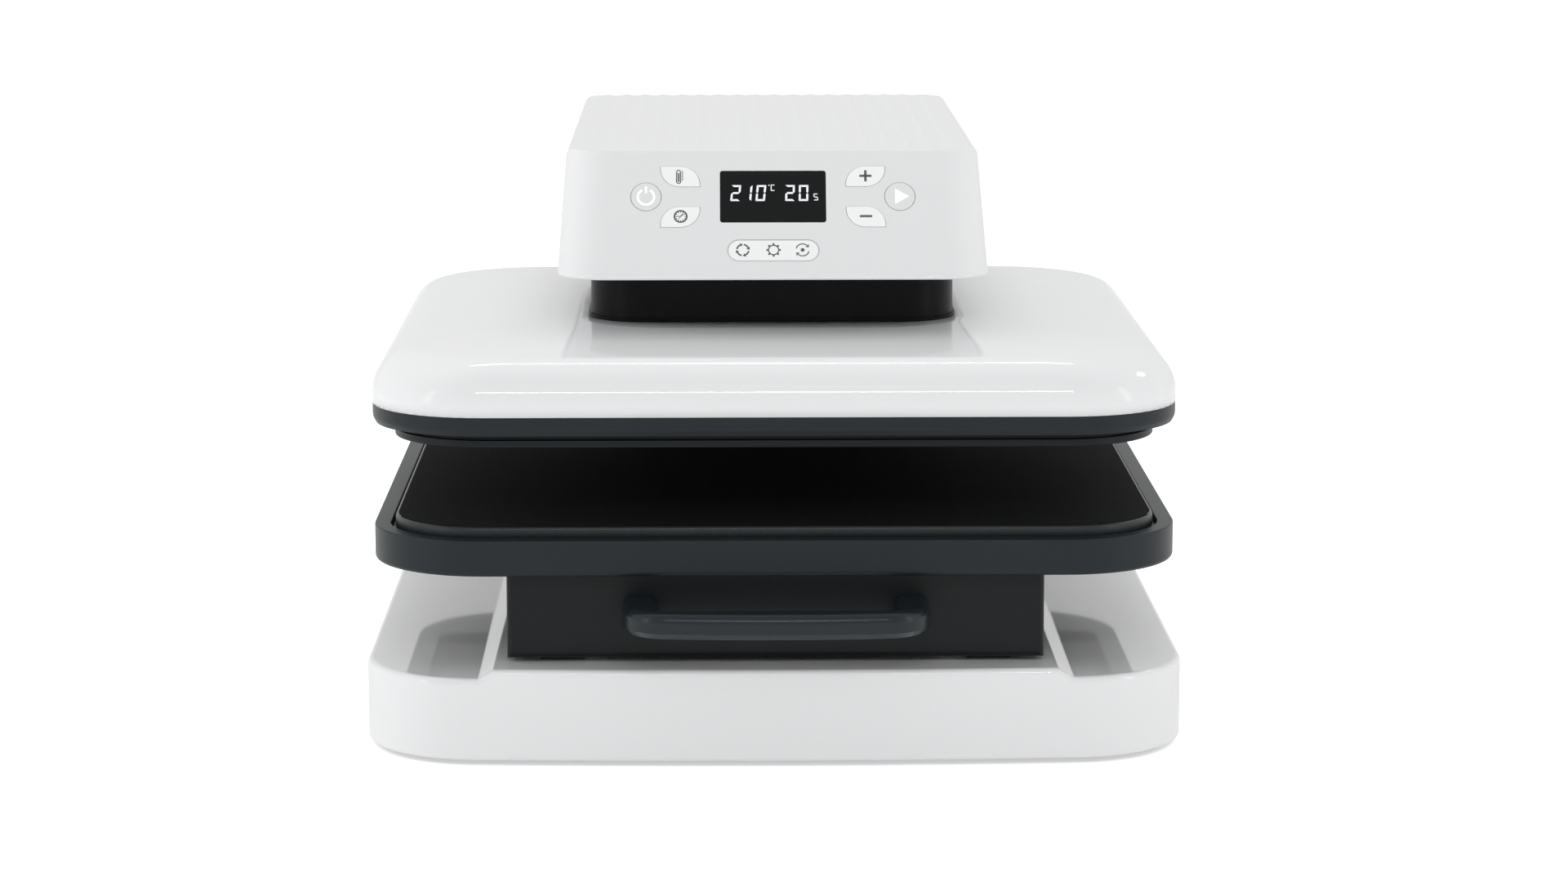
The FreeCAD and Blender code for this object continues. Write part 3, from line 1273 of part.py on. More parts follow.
base_shell()
base_bottom_plate()
rubber_feet()
studs("foot_screws", feet_points(), "1.35", "plate_high + 9", "1.95", "3.8", "0.3", "1.35")
frame_side("frame_left", -1)
frame_side("frame_right", 1)
cross_bars()
column_plate()
drive_plate()
frame_screws()
screw_bearing()
guide_shafts()
lead_screw()
flanged_pulley("screw_pulley", "pulley_radius", "journal_radius + 0.02", 6)
motor_parts()
drive_belt()
heat_plate()
heating_element()
temperature_sensor()
insulation_board()
backing_plate()
trim_ring()
upper_shell()
press_bridge()
bridge_screws()
screw_nut()
guide_bushings()
neck_cover()
head_shell()
head_bottom_cover()
display_window()
status_window()
circuit_parts()
round_key("power_button", "-")
round_key("preset_button", "")
for key, (across, down, lean) in key_places().items():
    leaf_key(key, across, down, lean)
column_cover()
power_board()
fan_frame()
fan_rotor()
power_inlet()
switch_parts()
tray()
silicone_pad()
drawer_box()
drawer_handle()
drawer_screws()
slide_brackets()
slides()
doc.recompute()

for item in doc.Objects:
    if "Invalid" in item.State or "Error" in item.State:
        raise SystemExit(item.Label + " did not compute")
for item in PARTS:
    if item.Shape.isNull() or not item.Shape.isValid() or item.Shape.Volume < 1:
        raise SystemExit(item.Label + " has no valid solid")
    item.Shape.exportStep("parts/%s.step" % item.Label)
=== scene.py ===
import json
import math

import bmesh
import bpy
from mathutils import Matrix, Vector


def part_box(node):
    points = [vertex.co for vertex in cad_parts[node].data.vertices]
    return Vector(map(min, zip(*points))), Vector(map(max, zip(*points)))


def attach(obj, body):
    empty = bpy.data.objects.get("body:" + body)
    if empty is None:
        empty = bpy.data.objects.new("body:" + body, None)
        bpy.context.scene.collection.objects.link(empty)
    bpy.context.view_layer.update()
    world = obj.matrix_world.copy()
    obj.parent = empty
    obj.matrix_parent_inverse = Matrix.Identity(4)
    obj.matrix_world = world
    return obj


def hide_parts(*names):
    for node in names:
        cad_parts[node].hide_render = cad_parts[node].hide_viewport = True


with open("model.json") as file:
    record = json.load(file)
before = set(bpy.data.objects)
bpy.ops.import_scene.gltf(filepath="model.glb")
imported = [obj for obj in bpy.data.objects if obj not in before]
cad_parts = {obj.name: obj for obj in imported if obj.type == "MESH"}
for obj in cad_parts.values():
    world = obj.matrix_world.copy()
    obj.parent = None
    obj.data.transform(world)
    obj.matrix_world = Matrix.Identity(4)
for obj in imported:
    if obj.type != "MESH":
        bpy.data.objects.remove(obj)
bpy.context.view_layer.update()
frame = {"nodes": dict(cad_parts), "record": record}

# Looks of a drawer-type heat press. Metres unless a comment says millimetres, in the frame
# of the CAD model: the origin is on the bench below the middle of the footprint, and the
# front faces -Y. New shapes are drawn about the press axis and moved to its place by keep().

AXIS = Vector((0, -0.018525, 0))
# Slant of the control panel, and its upper edge in millimetres from the press axis.
TILT = math.radians(30)
PANEL_TOP_Y = -80.2
PANEL_TOP_Z = 291.6
SLOT_OF = {row["node"]: row["material_slot"] for row in frame["record"]["subparts"]}


# ---------------------------------------------------------------- finishes

def finish(name, colour, rough, metallic=0.0, grain=0.0, scale=400.0, tint=0.04, rough_spread=0.06,
           coat=0.0, stretch=(1.0, 1.0, 1.0), glow=0.0, specular=0.5, coat_ior=1.5):
    """Principled material whose colour, roughness and surface all vary with solid noise."""
    made = bpy.data.materials.new(name)
    made.use_nodes = True
    nodes, links = made.node_tree.nodes, made.node_tree.links
    shader = nodes["Principled BSDF"]
    place = nodes.new("ShaderNodeTexCoord")
    mapping = nodes.new("ShaderNodeMapping")
    mapping.inputs["Scale"].default_value = stretch
    links.new(place.outputs["Object"], mapping.inputs["Vector"])
    broad = nodes.new("ShaderNodeTexNoise")
    broad.inputs["Scale"].default_value = 9.0
    broad.inputs["Detail"].default_value = 3.0
    fine = nodes.new("ShaderNodeTexNoise")
    fine.inputs["Scale"].default_value = scale
    fine.inputs["Detail"].default_value = 4.0
    links.new(mapping.outputs["Vector"], broad.inputs["Vector"])
    links.new(mapping.outputs["Vector"], fine.inputs["Vector"])
    ramp = nodes.new("ShaderNodeMix")
    ramp.data_type = "RGBA"
    dark = [channel * (1 - tint) for channel in colour]
    light = [min(1.0, channel * (1 + tint)) for channel in colour]
    ramp.inputs[6].default_value = (*dark, 1)
    ramp.inputs[7].default_value = (*light, 1)
    blend = nodes.new("ShaderNodeMath")
    blend.operation = "MULTIPLY_ADD"
    blend.inputs[1].default_value = 0.5
    links.new(fine.outputs["Fac"], blend.inputs[0])
    halved = nodes.new("ShaderNodeMath")
    halved.operation = "MULTIPLY"
    halved.inputs[1].default_value = 0.5
    links.new(broad.outputs["Fac"], halved.inputs[0])
    links.new(halved.outputs[0], blend.inputs[2])
    links.new(blend.outputs[0], ramp.inputs[0])
    links.new(ramp.outputs[2], shader.inputs["Base Color"])
    spread = nodes.new("ShaderNodeMapRange")
    spread.inputs["To Min"].default_value = max(0.02, rough - rough_spread / 2)
    spread.inputs["To Max"].default_value = min(1.0, rough + rough_spread / 2)
    links.new(blend.outputs[0], spread.inputs["Value"])
    links.new(spread.outputs["Result"], shader.inputs["Roughness"])
    shader.inputs["Metallic"].default_value = metallic
    shader.inputs["Coat Weight"].default_value = coat
    shader.inputs["Coat Roughness"].default_value = 0.045
    shader.inputs["Coat IOR"].default_value = coat_ior
    shader.inputs["Specular IOR Level"].default_value = specular
    if grain:
        bump = nodes.new("ShaderNodeBump")
        bump.inputs["Strength"].default_value = grain
        bump.inputs["Distance"].default_value = 0.0004
        links.new(fine.outputs["Fac"], bump.inputs["Height"])
        links.new(bump.outputs["Normal"], shader.inputs["Normal"])
    if glow:
        links.new(ramp.outputs[2], shader.inputs["Emission Color"])
        shader.inputs["Emission Strength"].default_value = glow
    return made


FINISHES = {
    "white_plastic": finish("white_plastic", (0.85, 0.855, 0.862), 0.55, coat=1.0, tint=0.008,
                            scale=90, specular=0.2, coat_ior=1.65),
    "dome_white": finish("dome_white", (0.85, 0.855, 0.862), 0.55, coat=0.8, tint=0.008,
                         scale=90, specular=0.15),
    "charcoal_plastic": finish("charcoal_plastic", (0.013, 0.018, 0.021), 0.36, grain=0.05,
                               scale=1500, tint=0.12, specular=0.26),
    "grip_plastic": finish("grip_plastic", (0.013, 0.018, 0.021), 0.26, grain=0.03, scale=1500,
                           tint=0.12, specular=0.34),
    "neck_plastic": finish("neck_plastic", (0.003, 0.0034, 0.0036), 0.34, grain=0.03, scale=1200,
                           tint=0.15, specular=0.12),
    "window_black": finish("window_black", (0.007, 0.009, 0.009), 0.20, tint=0.1, specular=0.2),
    # The faint glow of the white keys is painted light, not a lamp.
    "key_white": finish("key_white", (0.93, 0.935, 0.94), 0.32, grain=0.02, scale=900, tint=0.01,
                        glow=0.06),
    "black_steel": finish("black_steel", (0.006, 0.0075, 0.0085), 0.36, grain=0.10, scale=1400,
                          tint=0.2, specular=0.25),
    "steel": finish("steel", (0.55, 0.56, 0.57), 0.34, 1.0, 0.08, 900, 0.10, 0.16,
                    stretch=(1, 0.06, 1)),
    "ground_steel": finish("ground_steel", (0.70, 0.71, 0.72), 0.16, 1.0, 0.05, 900, 0.06, 0.10,
                           stretch=(1, 1, 6)),
    "plate_aluminium": finish("plate_aluminium", (0.010, 0.013, 0.015), 0.38, 0.2, 0.08, 1300,
                              0.2, 0.1, specular=0.25),
    "cast_aluminium": finish("cast_aluminium", (0.60, 0.61, 0.62), 0.36, 1.0, 0.10, 700, 0.08,
                             0.14),
    "bronze": finish("bronze", (0.55, 0.36, 0.16), 0.38, 1.0, 0.10, 1100, 0.16, 0.14),
    "silicone": finish("silicone", (0.006, 0.006, 0.007), 0.82, grain=0.55, scale=700, tint=0.5,
                       rough_spread=0.12, specular=0.15),
    # The pad's side faces are a lighter grey than its top. This is a painted highlight along the
    # rounded edge; the lower roughness is the edge's real gloss.
    "pad_edge_painted_highlight": finish("pad_edge_painted_highlight", (0.017, 0.020, 0.021), 0.34, grain=0.3, scale=1200, tint=0.3,
                       specular=0.45),
    "round_white": finish("round_white", (0.83, 0.835, 0.84), 0.35, grain=0.02, scale=900,
                          tint=0.01),
    # The faint glow of the white status window is painted light, not a lamp.
    "window_white": finish("window_white", (0.93, 0.935, 0.94), 0.2, coat=0.4, tint=0.012,
                           glow=0.06),
    "foot_rubber": finish("foot_rubber", (0.02, 0.02, 0.02), 0.80, grain=0.3, scale=900, tint=0.2),
    "belt_rubber": finish("belt_rubber", (0.015, 0.015, 0.015), 0.62, grain=0.3, scale=1200,
                          tint=0.3),
    "board_fibre": finish("board_fibre", (0.72, 0.69, 0.62), 0.92, grain=0.8, scale=260,
                          tint=0.10, stretch=(1, 1, 5)),
    "circuit_green": finish("circuit_green", (0.015, 0.11, 0.05), 0.38, grain=0.1, scale=500,
                            tint=0.25, coat=0.3),
    "black_plastic": finish("black_plastic", (0.015, 0.016, 0.018), 0.50, grain=0.15, scale=1300,
                            tint=0.2),
    "element_steel": finish("element_steel", (0.28, 0.24, 0.21), 0.42, 1.0, 0.15, 500, 0.25, 0.16),
}
INK = finish("icon_ink", (0.10, 0.105, 0.11), 0.5, tint=0.15, scale=1500)
# Pale icon print on the power and preset keys. Its glow is painted light that makes the print look
# brighter.
PALE_INK_PAINTED_GLOW = finish("icon_pale_painted_glow", (0.96, 0.97, 0.97), 0.42, tint=0.01, scale=1500, glow=0.22)
DIGIT = finish("display_light", (0.74, 0.76, 0.78), 0.4, tint=0.05, scale=2500, glow=0.36)
LABEL_GREY = finish("mark_grey", (0.42, 0.43, 0.44), 0.4, tint=0.08, scale=1500)

SLOT_OF["status_window"] = "window_white"
# The drawer slides take the black finish as painted shade. It keeps their front ends dark under the
# drawer.
SLOT_OF["slide_brackets"] = "black_steel"
SLOT_OF["drawer_handle"] = "grip_plastic"
SLOT_OF["power_button"] = SLOT_OF["preset_button"] = "round_white"
for node, shown in frame["nodes"].items():
    shown.data.materials.clear()
    shown.data.materials.append(FINISHES[SLOT_OF[node]])


# ---------------------------------------------------------------- mesh helpers

def rounded_ring(half_x, half_y, radius, level, steps=14):
    """Points of a rounded rectangle, anticlockwise seen from above."""
    points = []
    for quarter, (sx, sy) in enumerate(((1, 1), (-1, 1), (-1, -1), (1, -1))):
        cx, cy = sx * (half_x - radius), sy * (half_y - radius)
        for step in range(steps + 1):
            angle = math.pi / 2 * (quarter + step / steps)
            x, y = cx + radius * math.cos(angle), cy + radius * math.sin(angle)
            points.append(Vector((x, y, level)))
    return points


def stack(name, rings, material, body, close=False, cap=True):
    """Mesh that joins a stack of rings with the same number of points."""
    mesh = bmesh.new()
    loops = [[mesh.verts.new(point) for point in ring] for ring in rings]
    pairs = list(zip(loops, loops[1:]))
    if close:
        pairs.append((loops[-1], loops[0]))
    for low, high in pairs:
        for step in range(len(low)):
            following = (step + 1) % len(low)
            mesh.faces.new((low[step], low[following], high[following], high[step]))
    if cap and not close:
        mesh.faces.new(list(reversed(loops[0])))
        mesh.faces.new(loops[-1])
    bmesh.ops.recalc_face_normals(mesh, faces=mesh.faces)
    return keep(name, mesh, material, body)


def keep(name, mesh, material, body, smooth=True):
    """Object made from a mesh drawn about the press axis, riding on a body."""
    bmesh.ops.translate(mesh, vec=AXIS, verts=mesh.verts)
    data = bpy.data.meshes.new(name)
    mesh.to_mesh(data)
    mesh.free()
    for face in data.polygons:
        face.use_smooth = smooth
    made = bpy.data.objects.new(name, data)
    bpy.context.scene.collection.objects.link(made)
    data.materials.append(material)
    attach(made, body)
    return made


def on_panel(across, down, out):
    """Point of the slanted panel: to the right, down the slope and out of it, in millimetres."""
    y = PANEL_TOP_Y - down * math.sin(TILT) - out * math.cos(TILT)
    z = PANEL_TOP_Z - down * math.cos(TILT) + out * math.sin(TILT)
    return Vector((across, y, z)) / 1000


def bar(x0, y0, x1, y1, width):
    """Outline of a straight stroke between two points."""
    run = Vector((x1 - x0, y1 - y0)).normalized() * width / 2
    return [(x0 - run.y, y0 + run.x), (x0 + run.y, y0 - run.x),
            (x1 + run.y, y1 - run.x), (x1 - run.y, y1 + run.x)]


def arc(cx, cy, radius, start, end, width, steps=20):
    """Quads of a ring sector; angles in degrees from the right, turning clockwise on the panel."""
    quads = []
    for step in range(steps):
        a, b = [math.radians(start + (end - start) * part / steps) for part in (step, step + 1)]
        inner, outer = radius - width / 2, radius + width / 2
        quads.append([(cx + inner * math.cos(a), cy + inner * math.sin(a)),
                      (cx + outer * math.cos(a), cy + outer * math.sin(a)),
                      (cx + outer * math.cos(b), cy + outer * math.sin(b)),
                      (cx + inner * math.cos(b), cy + inner * math.sin(b))])
    return quads


def disc(cx, cy, radius, steps=20):
    """Outline of a filled round spot."""
    turn = 2 * math.pi / steps
    return [(cx + radius * math.cos(turn * step), cy + radius * math.sin(turn * step))
            for step in range(steps)]


def emboss(name, shapes, place, material, body, low, high):
    """Thin raised mark: each flat outline becomes a prism between two heights over a surface."""
    mesh = bmesh.new()
    for shape in shapes:
        under = [mesh.verts.new(place(x, y, low)) for x, y in shape]
        over = [mesh.verts.new(place(x, y, high)) for x, y in shape]
        mesh.faces.new(over)
        mesh.faces.new(list(reversed(under)))
        for step in range(len(shape)):
            following = (step + 1) % len(shape)
            mesh.faces.new((under[step], under[following], over[following], over[step]))
    bmesh.ops.recalc_face_normals(mesh, faces=mesh.faces)
    return keep(name, mesh, material, body, smooth=False)


# ---------------------------------------------------------------- silicone pad

PAD_CORNER = 0.045
PAD_EDGE = 0.0020
pad_low, pad_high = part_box("silicone_pad")
pad_half = pad_high.x
pad_profile = [(0.0012, pad_low.z), (0.0003, pad_low.z + 0.0004), (0, pad_low.z + 0.0012),
               (0, pad_high.z - PAD_EDGE)]
for step in range(1, 7):
    angle = math.pi / 12 * step
    level = pad_high.z - PAD_EDGE + PAD_EDGE * math.sin(angle)
    pad_profile.append((PAD_EDGE * (1 - math.cos(angle)), level))
pad_profile += [(0.006, pad_high.z), (0.03, pad_high.z)]
pad_rings = [rounded_ring(pad_half - inset, pad_half - inset, PAD_CORNER - inset * 0.8, level)
             for inset, level in pad_profile]
pad = stack("silicone_pad_soft", pad_rings, FINISHES["silicone"], "drawer")
pad.data.materials.append(FINISHES["pad_edge_painted_highlight"])
# Faces that are not flat on top take the lighter edge finish, which paints a highlight along the
# pad's sides.
for face in pad.data.polygons:
    face.material_index = int(abs(face.normal.z) < 0.93)
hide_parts("silicone_pad")


# ---------------------------------------------------------------- dome

# Millimetres: the rim, the tight bend above it, the flat crown, and the opening for the neck.
RIM_HALF, RIM_CORNER, RIM_LOW, RIM_HIGH = 200.75, 57, 173.25, 179.5
KNEE_RUN, KNEE_RISE = 20, 18.6
CROWN_RUN, CROWN_RISE = 105, 5.2
NECK_HALF_X, NECK_HALF_Y, NECK_CORNER, NECK_LEVEL = 84, 69, 22, 203.25
SHELL_WALL = 3


def dome_point(run):
    """Height of the dome at a distance in from its rim, in millimetres."""
    knee = KNEE_RISE * math.sqrt(max(0.0, 1 - (1 - min(run, KNEE_RUN) / KNEE_RUN) ** 2))
    crown = CROWN_RISE * (1 - (1 - min(run, CROWN_RUN) / CROWN_RUN) ** 2)
    return RIM_HIGH + knee + crown


def dome_rings(inset, drop):
    """Rings from the rim up to the neck opening, set in and down by the wall for the inside."""
    runs = [KNEE_RUN * (1 - math.cos(math.radians(angle))) for angle in range(0, 91, 5)]
    runs += [24, 30, 38, 46, 54, 62, 70, 78, 86, 94, 100]
    rim = (RIM_HALF - inset) / 1000
    rings = [rounded_ring(rim, rim, (RIM_CORNER - inset) / 1000, RIM_LOW / 1000)]
    for run in runs:
        half = (RIM_HALF - inset - run) / 1000
        radius = (RIM_CORNER - inset - 0.1 * run) / 1000
        rings.append(rounded_ring(half, half, radius, (dome_point(run) - drop) / 1000))
    neck = [size / 1000 for size in (NECK_HALF_X, NECK_HALF_Y, NECK_CORNER, NECK_LEVEL - drop)]
    rings.append(rounded_ring(*neck))
    return rings


outer_rings = dome_rings(0, 0)
inner_rings = list(reversed(dome_rings(SHELL_WALL, SHELL_WALL)))
dome = stack("upper_shell_gloss", outer_rings + inner_rings, FINISHES["dome_white"], "platen",
             close=True)
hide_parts("upper_shell")


# ---------------------------------------------------------------- display and key marks

SEGMENTS = {"0": "abcdef", "1": "bc", "2": "abged", "5": "afgcd"}

# Heights of the marks' lower and upper faces above the panel, in millimetres.
SCREEN_MARK = (-0.16, -0.10)
STATUS_MARK = (-0.12, -0.05)
KEY_MARK = (0.25, 0.36)


def digit(text, left, top, wide, tall, width, lean=0.0):
    """Seven-segment figure with mitred ends; its box runs along the centres of the segments."""
    h = width / 2
    g = width * 0.09
    right, mid, low = left + wide, top + tall / 2, top + tall
    outlines = {
        "a": [(left - h + g, top - h), (right + h - g, top - h),
              (right - h - g, top + h), (left + h + g, top + h)],
        "d": [(left + h + g, low - h), (right - h - g, low - h),
              (right + h - g, low + h), (left - h + g, low + h)],
        "g": [(left + g, mid), (left + h + g, mid - h), (right - h - g, mid - h), (right - g, mid),
              (right - h - g, mid + h), (left + h + g, mid + h)],
        "f": [(left - h, top - h + g), (left + h, top + h + g), (left + h, mid - h - g),
              (left, mid - g), (left - h, mid - h - g)],
        "e": [(left, mid + g), (left + h, mid + h + g), (left + h, low - h - g),
              (left - h, low + h - g), (left - h, mid + h + g)],
    }
    outlines["b"] = [(left + right - x, y) for x, y in outlines["f"]]
    outlines["c"] = [(left + right - x, y) for x, y in outlines["e"]]
    return [[(x + (low - y) * lean, y) for x, y in outlines[segment]] for segment in SEGMENTS[text]]


LARGE_DIGITS = (("2", -21.2, 0.09), ("1", -15.4, 0.09), ("0", -8.4, 0.09),
                ("2", 6.7, 0.02), ("0", 13.6, 0.02))
screen_marks = []
for text, left, lean in LARGE_DIGITS:
    screen_marks += digit(text, left, 19.4, 3.8, 7.8, 1.05, lean)
screen_marks += digit("5", 20.9, 23.9, 1.8, 3.3, 0.5)
screen_marks += [bar(-0.9, 18.7, -0.9, 22.1, 0.45), bar(-0.9, 18.85, 0.8, 18.85, 0.45),
                 bar(-0.9, 21.9, 0.8, 21.9, 0.45)]
screen_marks.append(disc(-2.0, 19.0, 0.36, 10))
emboss("display_digits", screen_marks, on_panel, DIGIT, "base", *SCREEN_MARK)


def arrow(cx, cy, radius, angle, size):
    """Arrow head lying on a circle and pointing along it."""
    a = math.radians(angle)
    centre = Vector((cx + radius * math.cos(a), cy + radius * math.sin(a)))
    along = Vector((-math.sin(a), math.cos(a)))
    side = Vector((math.cos(a), math.sin(a)))
    spread = side * size * 0.8
    return [tuple(centre + along * size), tuple(centre + spread), tuple(centre - spread)]


cycle = []
for start in (10, 100, 190, 280):
    cycle += arc(-15.5, 54.8, 3.0, start, start + 56, 0.8, 8)
    cycle.append(arrow(-15.5, 54.8, 3.0, start + 56, 1.3))
emboss("status_cycle_icon", cycle, on_panel, INK, "base", *STATUS_MARK)
gear = arc(0.1, 54.8, 2.6, 0, 360, 0.6, 32)
for step in range(8):
    angle = math.radians(45 * step)
    dx, dy = math.cos(angle), math.sin(angle)
    gear.append(bar(0.1 + 2.8 * dx, 54.8 + 2.8 * dy, 0.1 + 3.7 * dx, 54.8 + 3.7 * dy, 0.9))
emboss("status_setting_icon", gear, on_panel, INK, "base", *STATUS_MARK)
loop = []
for start in (195, 15):
    loop += arc(14.8, 54.8, 3.3, start, start + 115, 0.55, 14)
    loop.append(arrow(14.8, 54.8, 3.3, start + 118, 1.4))
loop.append(disc(14.8, 54.8, 1.0))
emboss("status_auto_icon", loop, on_panel, INK, "base", *STATUS_MARK)
outline = arc(-17.3, 55.1, 5.72, 90, 270, 0.3, 18) + arc(17.3, 55.1, 5.72, -90, 90, 0.3, 18)
outline += [bar(-17.3, 55.1 + side, 17.3, 55.1 + side, 0.3) for side in (-5.72, 5.72)]
emboss("status_outline", outline, on_panel, LABEL_GREY, "base", *STATUS_MARK)

power = arc(-64.6, 25.6, 4.2, -62, 242, 1.15, 36) + [bar(-64.6, 19.7, -64.6, 23.5, 1.15)]
emboss("power_icon", power, on_panel, PALE_INK_PAINTED_GLOW, "power_key", *KEY_MARK)
play = [[(62.2, 21.2), (69.2, 25.4), (62.2, 29.6)]]
emboss("preset_icon", play, on_panel, PALE_INK_PAINTED_GLOW, "preset_key", *KEY_MARK)
plus = [bar(44.1, 14.0, 50.3, 14.0, 1.25), bar(47.2, 10.9, 47.2, 17.1, 1.25)]
emboss("plus_icon", plus, on_panel, INK, "plus_key", *KEY_MARK)
emboss("minus_icon", [bar(44.1, 36.4, 50.3, 36.4, 1.2)], on_panel, INK, "minus_key", *KEY_MARK)
thermometer = [bar(-48.95, 11.6, -48.95, 17.0, 0.6), bar(-47.05, 11.6, -47.05, 17.0, 0.6)]
thermometer.append(bar(-48.0, 12.4, -48.0, 17.2, 0.7))
thermometer += arc(-48.0, 11.6, 0.9, 180, 360, 0.45, 10) + arc(-48.0, 17.0, 1.05, -20, 200, 0.5, 14)
for step in range(9):
    mark = 11.4 + 0.62 * step
    thermometer.append(bar(-46.4, mark, -45.7, mark, 0.28))
emboss("temperature_icon", thermometer, on_panel, INK, "temperature_key", *KEY_MARK)
clock = arc(-47.0, 36.4, 3.15, 0, 360, 0.8, 36)
clock += [bar(-47.0, 36.4, -45.6, 35.0, 0.6), bar(-47.0, 36.4, -49.4, 36.4, 0.35),
          bar(-47.0, 36.4, -48.0, 37.9, 0.25)]
for step in range(12):
    angle = math.radians(30 * step)
    dx, dy = math.cos(angle), math.sin(angle)
    clock.append(bar(-47.0 + 2.1 * dx, 36.4 + 2.1 * dy, -47.0 + 2.8 * dx, 36.4 + 2.8 * dy, 0.4))
emboss("time_icon", clock, on_panel, INK, "time_key", *KEY_MARK)


# ---------------------------------------------------------------- stage, light and camera

def floor_material():
    """Pale floor, nearly white to the camera and a little darker to everything else."""
    made = bpy.data.materials.new("floor")
    made.use_nodes = True
    nodes, links = made.node_tree.nodes, made.node_tree.links
    shader = nodes["Principled BSDF"]
    noise = nodes.new("ShaderNodeTexNoise")
    noise.inputs["Scale"].default_value = 3.0
    spread = nodes.new("ShaderNodeMapRange")
    spread.inputs["To Min"].default_value = 0.60
    spread.inputs["To Max"].default_value = 0.66
    links.new(noise.outputs["Fac"], spread.inputs["Value"])
    links.new(spread.outputs["Result"], shader.inputs["Roughness"])
    ray = nodes.new("ShaderNodeLightPath")
    shade = nodes.new("ShaderNodeMix")
    shade.data_type = "RGBA"
    shade.inputs[6].default_value = (0.86, 0.86, 0.86, 1)
    shade.inputs[7].default_value = (0.90, 0.90, 0.90, 1)
    links.new(ray.outputs["Is Camera Ray"], shade.inputs[0])
    links.new(shade.outputs[2], shader.inputs["Base Color"])
    lift = nodes.new("ShaderNodeMapRange")
    lift.inputs["To Min"].default_value = 0.16
    lift.inputs["To Max"].default_value = 0.55
    links.new(ray.outputs["Is Camera Ray"], lift.inputs["Value"])
    links.new(lift.outputs["Result"], shader.inputs["Emission Strength"])
    shader.inputs["Emission Color"].default_value = (1, 1, 1, 1)
    return made


floor_mesh = bmesh.new()
bmesh.ops.create_grid(floor_mesh, x_segments=2, y_segments=2, size=6)
floor_data = bpy.data.meshes.new("floor")
floor_mesh.to_mesh(floor_data)
floor_mesh.free()
floor = bpy.data.objects.new("floor", floor_data)
floor_data.materials.append(floor_material())
bpy.context.scene.collection.objects.link(floor)

world = bpy.data.worlds.new("studio")
bpy.context.scene.world = world
world.use_nodes = True
nodes, links = world.node_tree.nodes, world.node_tree.links
background = nodes["Background"]
direction = nodes.new("ShaderNodeTexCoord")
split = nodes.new("ShaderNodeSeparateXYZ")
links.new(direction.outputs["Generated"], split.inputs[0])
height = nodes.new("ShaderNodeValToRGB")
height.color_ramp.elements[0].position = 0.0
height.color_ramp.elements[0].color = (0.88, 0.88, 0.88, 1)
height.color_ramp.elements[1].position = 1.0
height.color_ramp.elements[1].color = (1.0, 1.0, 1.0, 1)
for place, level in ((0.30, 0.90), (0.55, 0.88), (0.80, 0.98)):
    stop = height.color_ramp.elements.new(place)
    stop.color = (level, level, level, 1)
links.new(split.outputs["Z"], height.inputs["Fac"])
facing = nodes.new("ShaderNodeVectorMath")
facing.operation = "DOT_PRODUCT"
facing.inputs[1].default_value = (0, -0.70, 0.71)
links.new(direction.outputs["Generated"], facing.inputs[0])
shade = nodes.new("ShaderNodeMapRange")
shade.interpolation_type = "SMOOTHSTEP"
shade.inputs["From Min"].default_value = 0.45
shade.inputs["From Max"].default_value = 0.95
shade.inputs["To Min"].default_value = 1.0
shade.inputs["To Max"].default_value = 0.56
links.new(facing.outputs["Value"], shade.inputs["Value"])
behind = nodes.new("ShaderNodeMapRange")
behind.inputs["From Min"].default_value = 0.0
behind.inputs["From Max"].default_value = 1.0
behind.inputs["To Min"].default_value = 1.0
behind.inputs["To Max"].default_value = 0.88
links.new(split.outputs["Y"], behind.inputs["Value"])
around = nodes.new("ShaderNodeMath")
around.operation = "MULTIPLY"
links.new(shade.outputs["Result"], around.inputs[0])
links.new(behind.outputs["Result"], around.inputs[1])
dimmed = nodes.new("ShaderNodeMath")
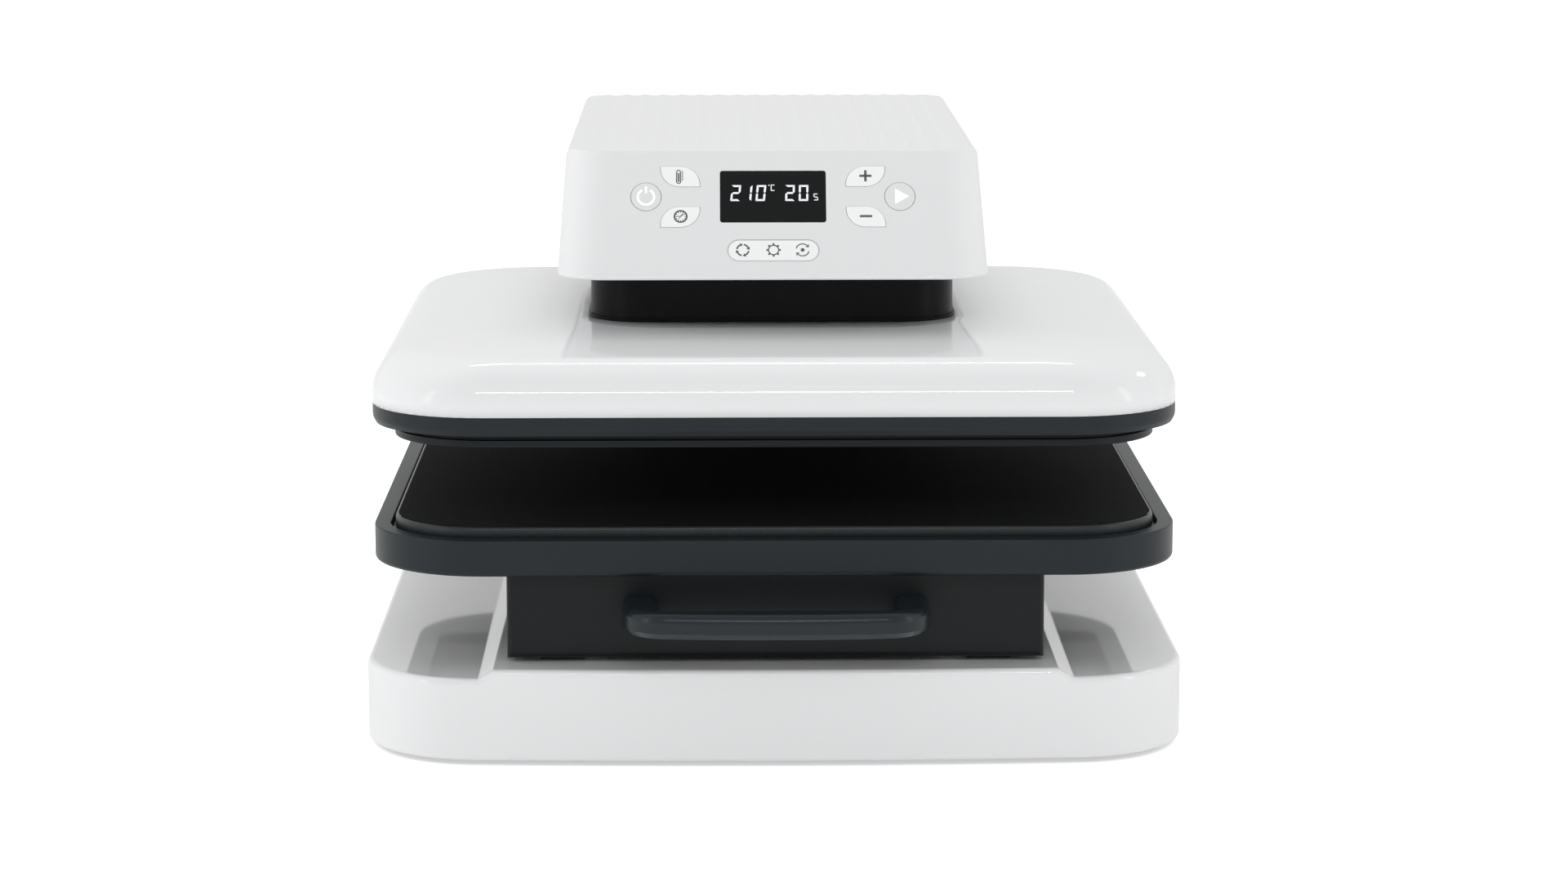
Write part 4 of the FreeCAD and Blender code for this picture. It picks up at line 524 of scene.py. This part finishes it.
dimmed.operation = "MULTIPLY"
links.new(height.outputs["Color"], dimmed.inputs[0])
links.new(around.outputs[0], dimmed.inputs[1])
ray = nodes.new("ShaderNodeLightPath")
seen = nodes.new("ShaderNodeMix")
seen.data_type = "FLOAT"
links.new(ray.outputs["Is Camera Ray"], seen.inputs[0])
links.new(dimmed.outputs[0], seen.inputs[2])
seen.inputs[3].default_value = 1.0
links.new(seen.outputs[0], background.inputs["Strength"])
background.inputs["Color"].default_value = (1.0, 1.0, 1.0, 1)


def softbox(name, place, aim, wide, high, power, mirrored=True):
    """Rectangular lamp aimed at a point, seen in glossy surfaces only if mirrored."""
    lamp = bpy.data.lights.new(name, "AREA")
    lamp.shape = "RECTANGLE"
    lamp.size = wide
    lamp.size_y = high
    lamp.energy = power
    made = bpy.data.objects.new(name, lamp)
    made.location = place
    made.rotation_euler = (Vector(aim) - Vector(place)).to_track_quat("-Z", "Y").to_euler()
    bpy.context.scene.collection.objects.link(made)
    made.visible_camera = False
    made.visible_glossy = mirrored


softbox("front_strip", (0, -1.68, 1.06), (0, -0.2, 0.18), 0.95, 0.06, 3.6)
softbox("back_strip", (0, 0.64, 1.44), (0, -0.2, 0.2), 0.85, 0.05, 2.2)
softbox("side_key", (-1.6, 0.2, 0.75), (0, 0, 0.25), 0.6, 0.6, 4.2, False)
softbox("right_window", (1.2, 0.5, 1.2), (0, 0, 0.2), 0.24, 0.17, 0.7)
softbox("left_strip", (-1.5, -1.0, 0.6), (0, 0, 0.2), 0.22, 1.2, 1.5)
softbox("right_strip", (1.5, -0.8, 0.6), (0, 0, 0.2), 0.22, 1.2, 1.8)

lens = bpy.data.cameras.new("camera")
lens.lens = 95.6
lens.sensor_width = 36
camera = bpy.data.objects.new("camera", lens)
camera.location = (-0.0285, -2.2215, 0.4967)
camera.rotation_euler = (math.radians(80.5), 0, math.radians(-0.926))
bpy.context.scene.collection.objects.link(camera)
bpy.context.scene.camera = camera
bpy.context.scene.view_settings.view_transform = "Standard"
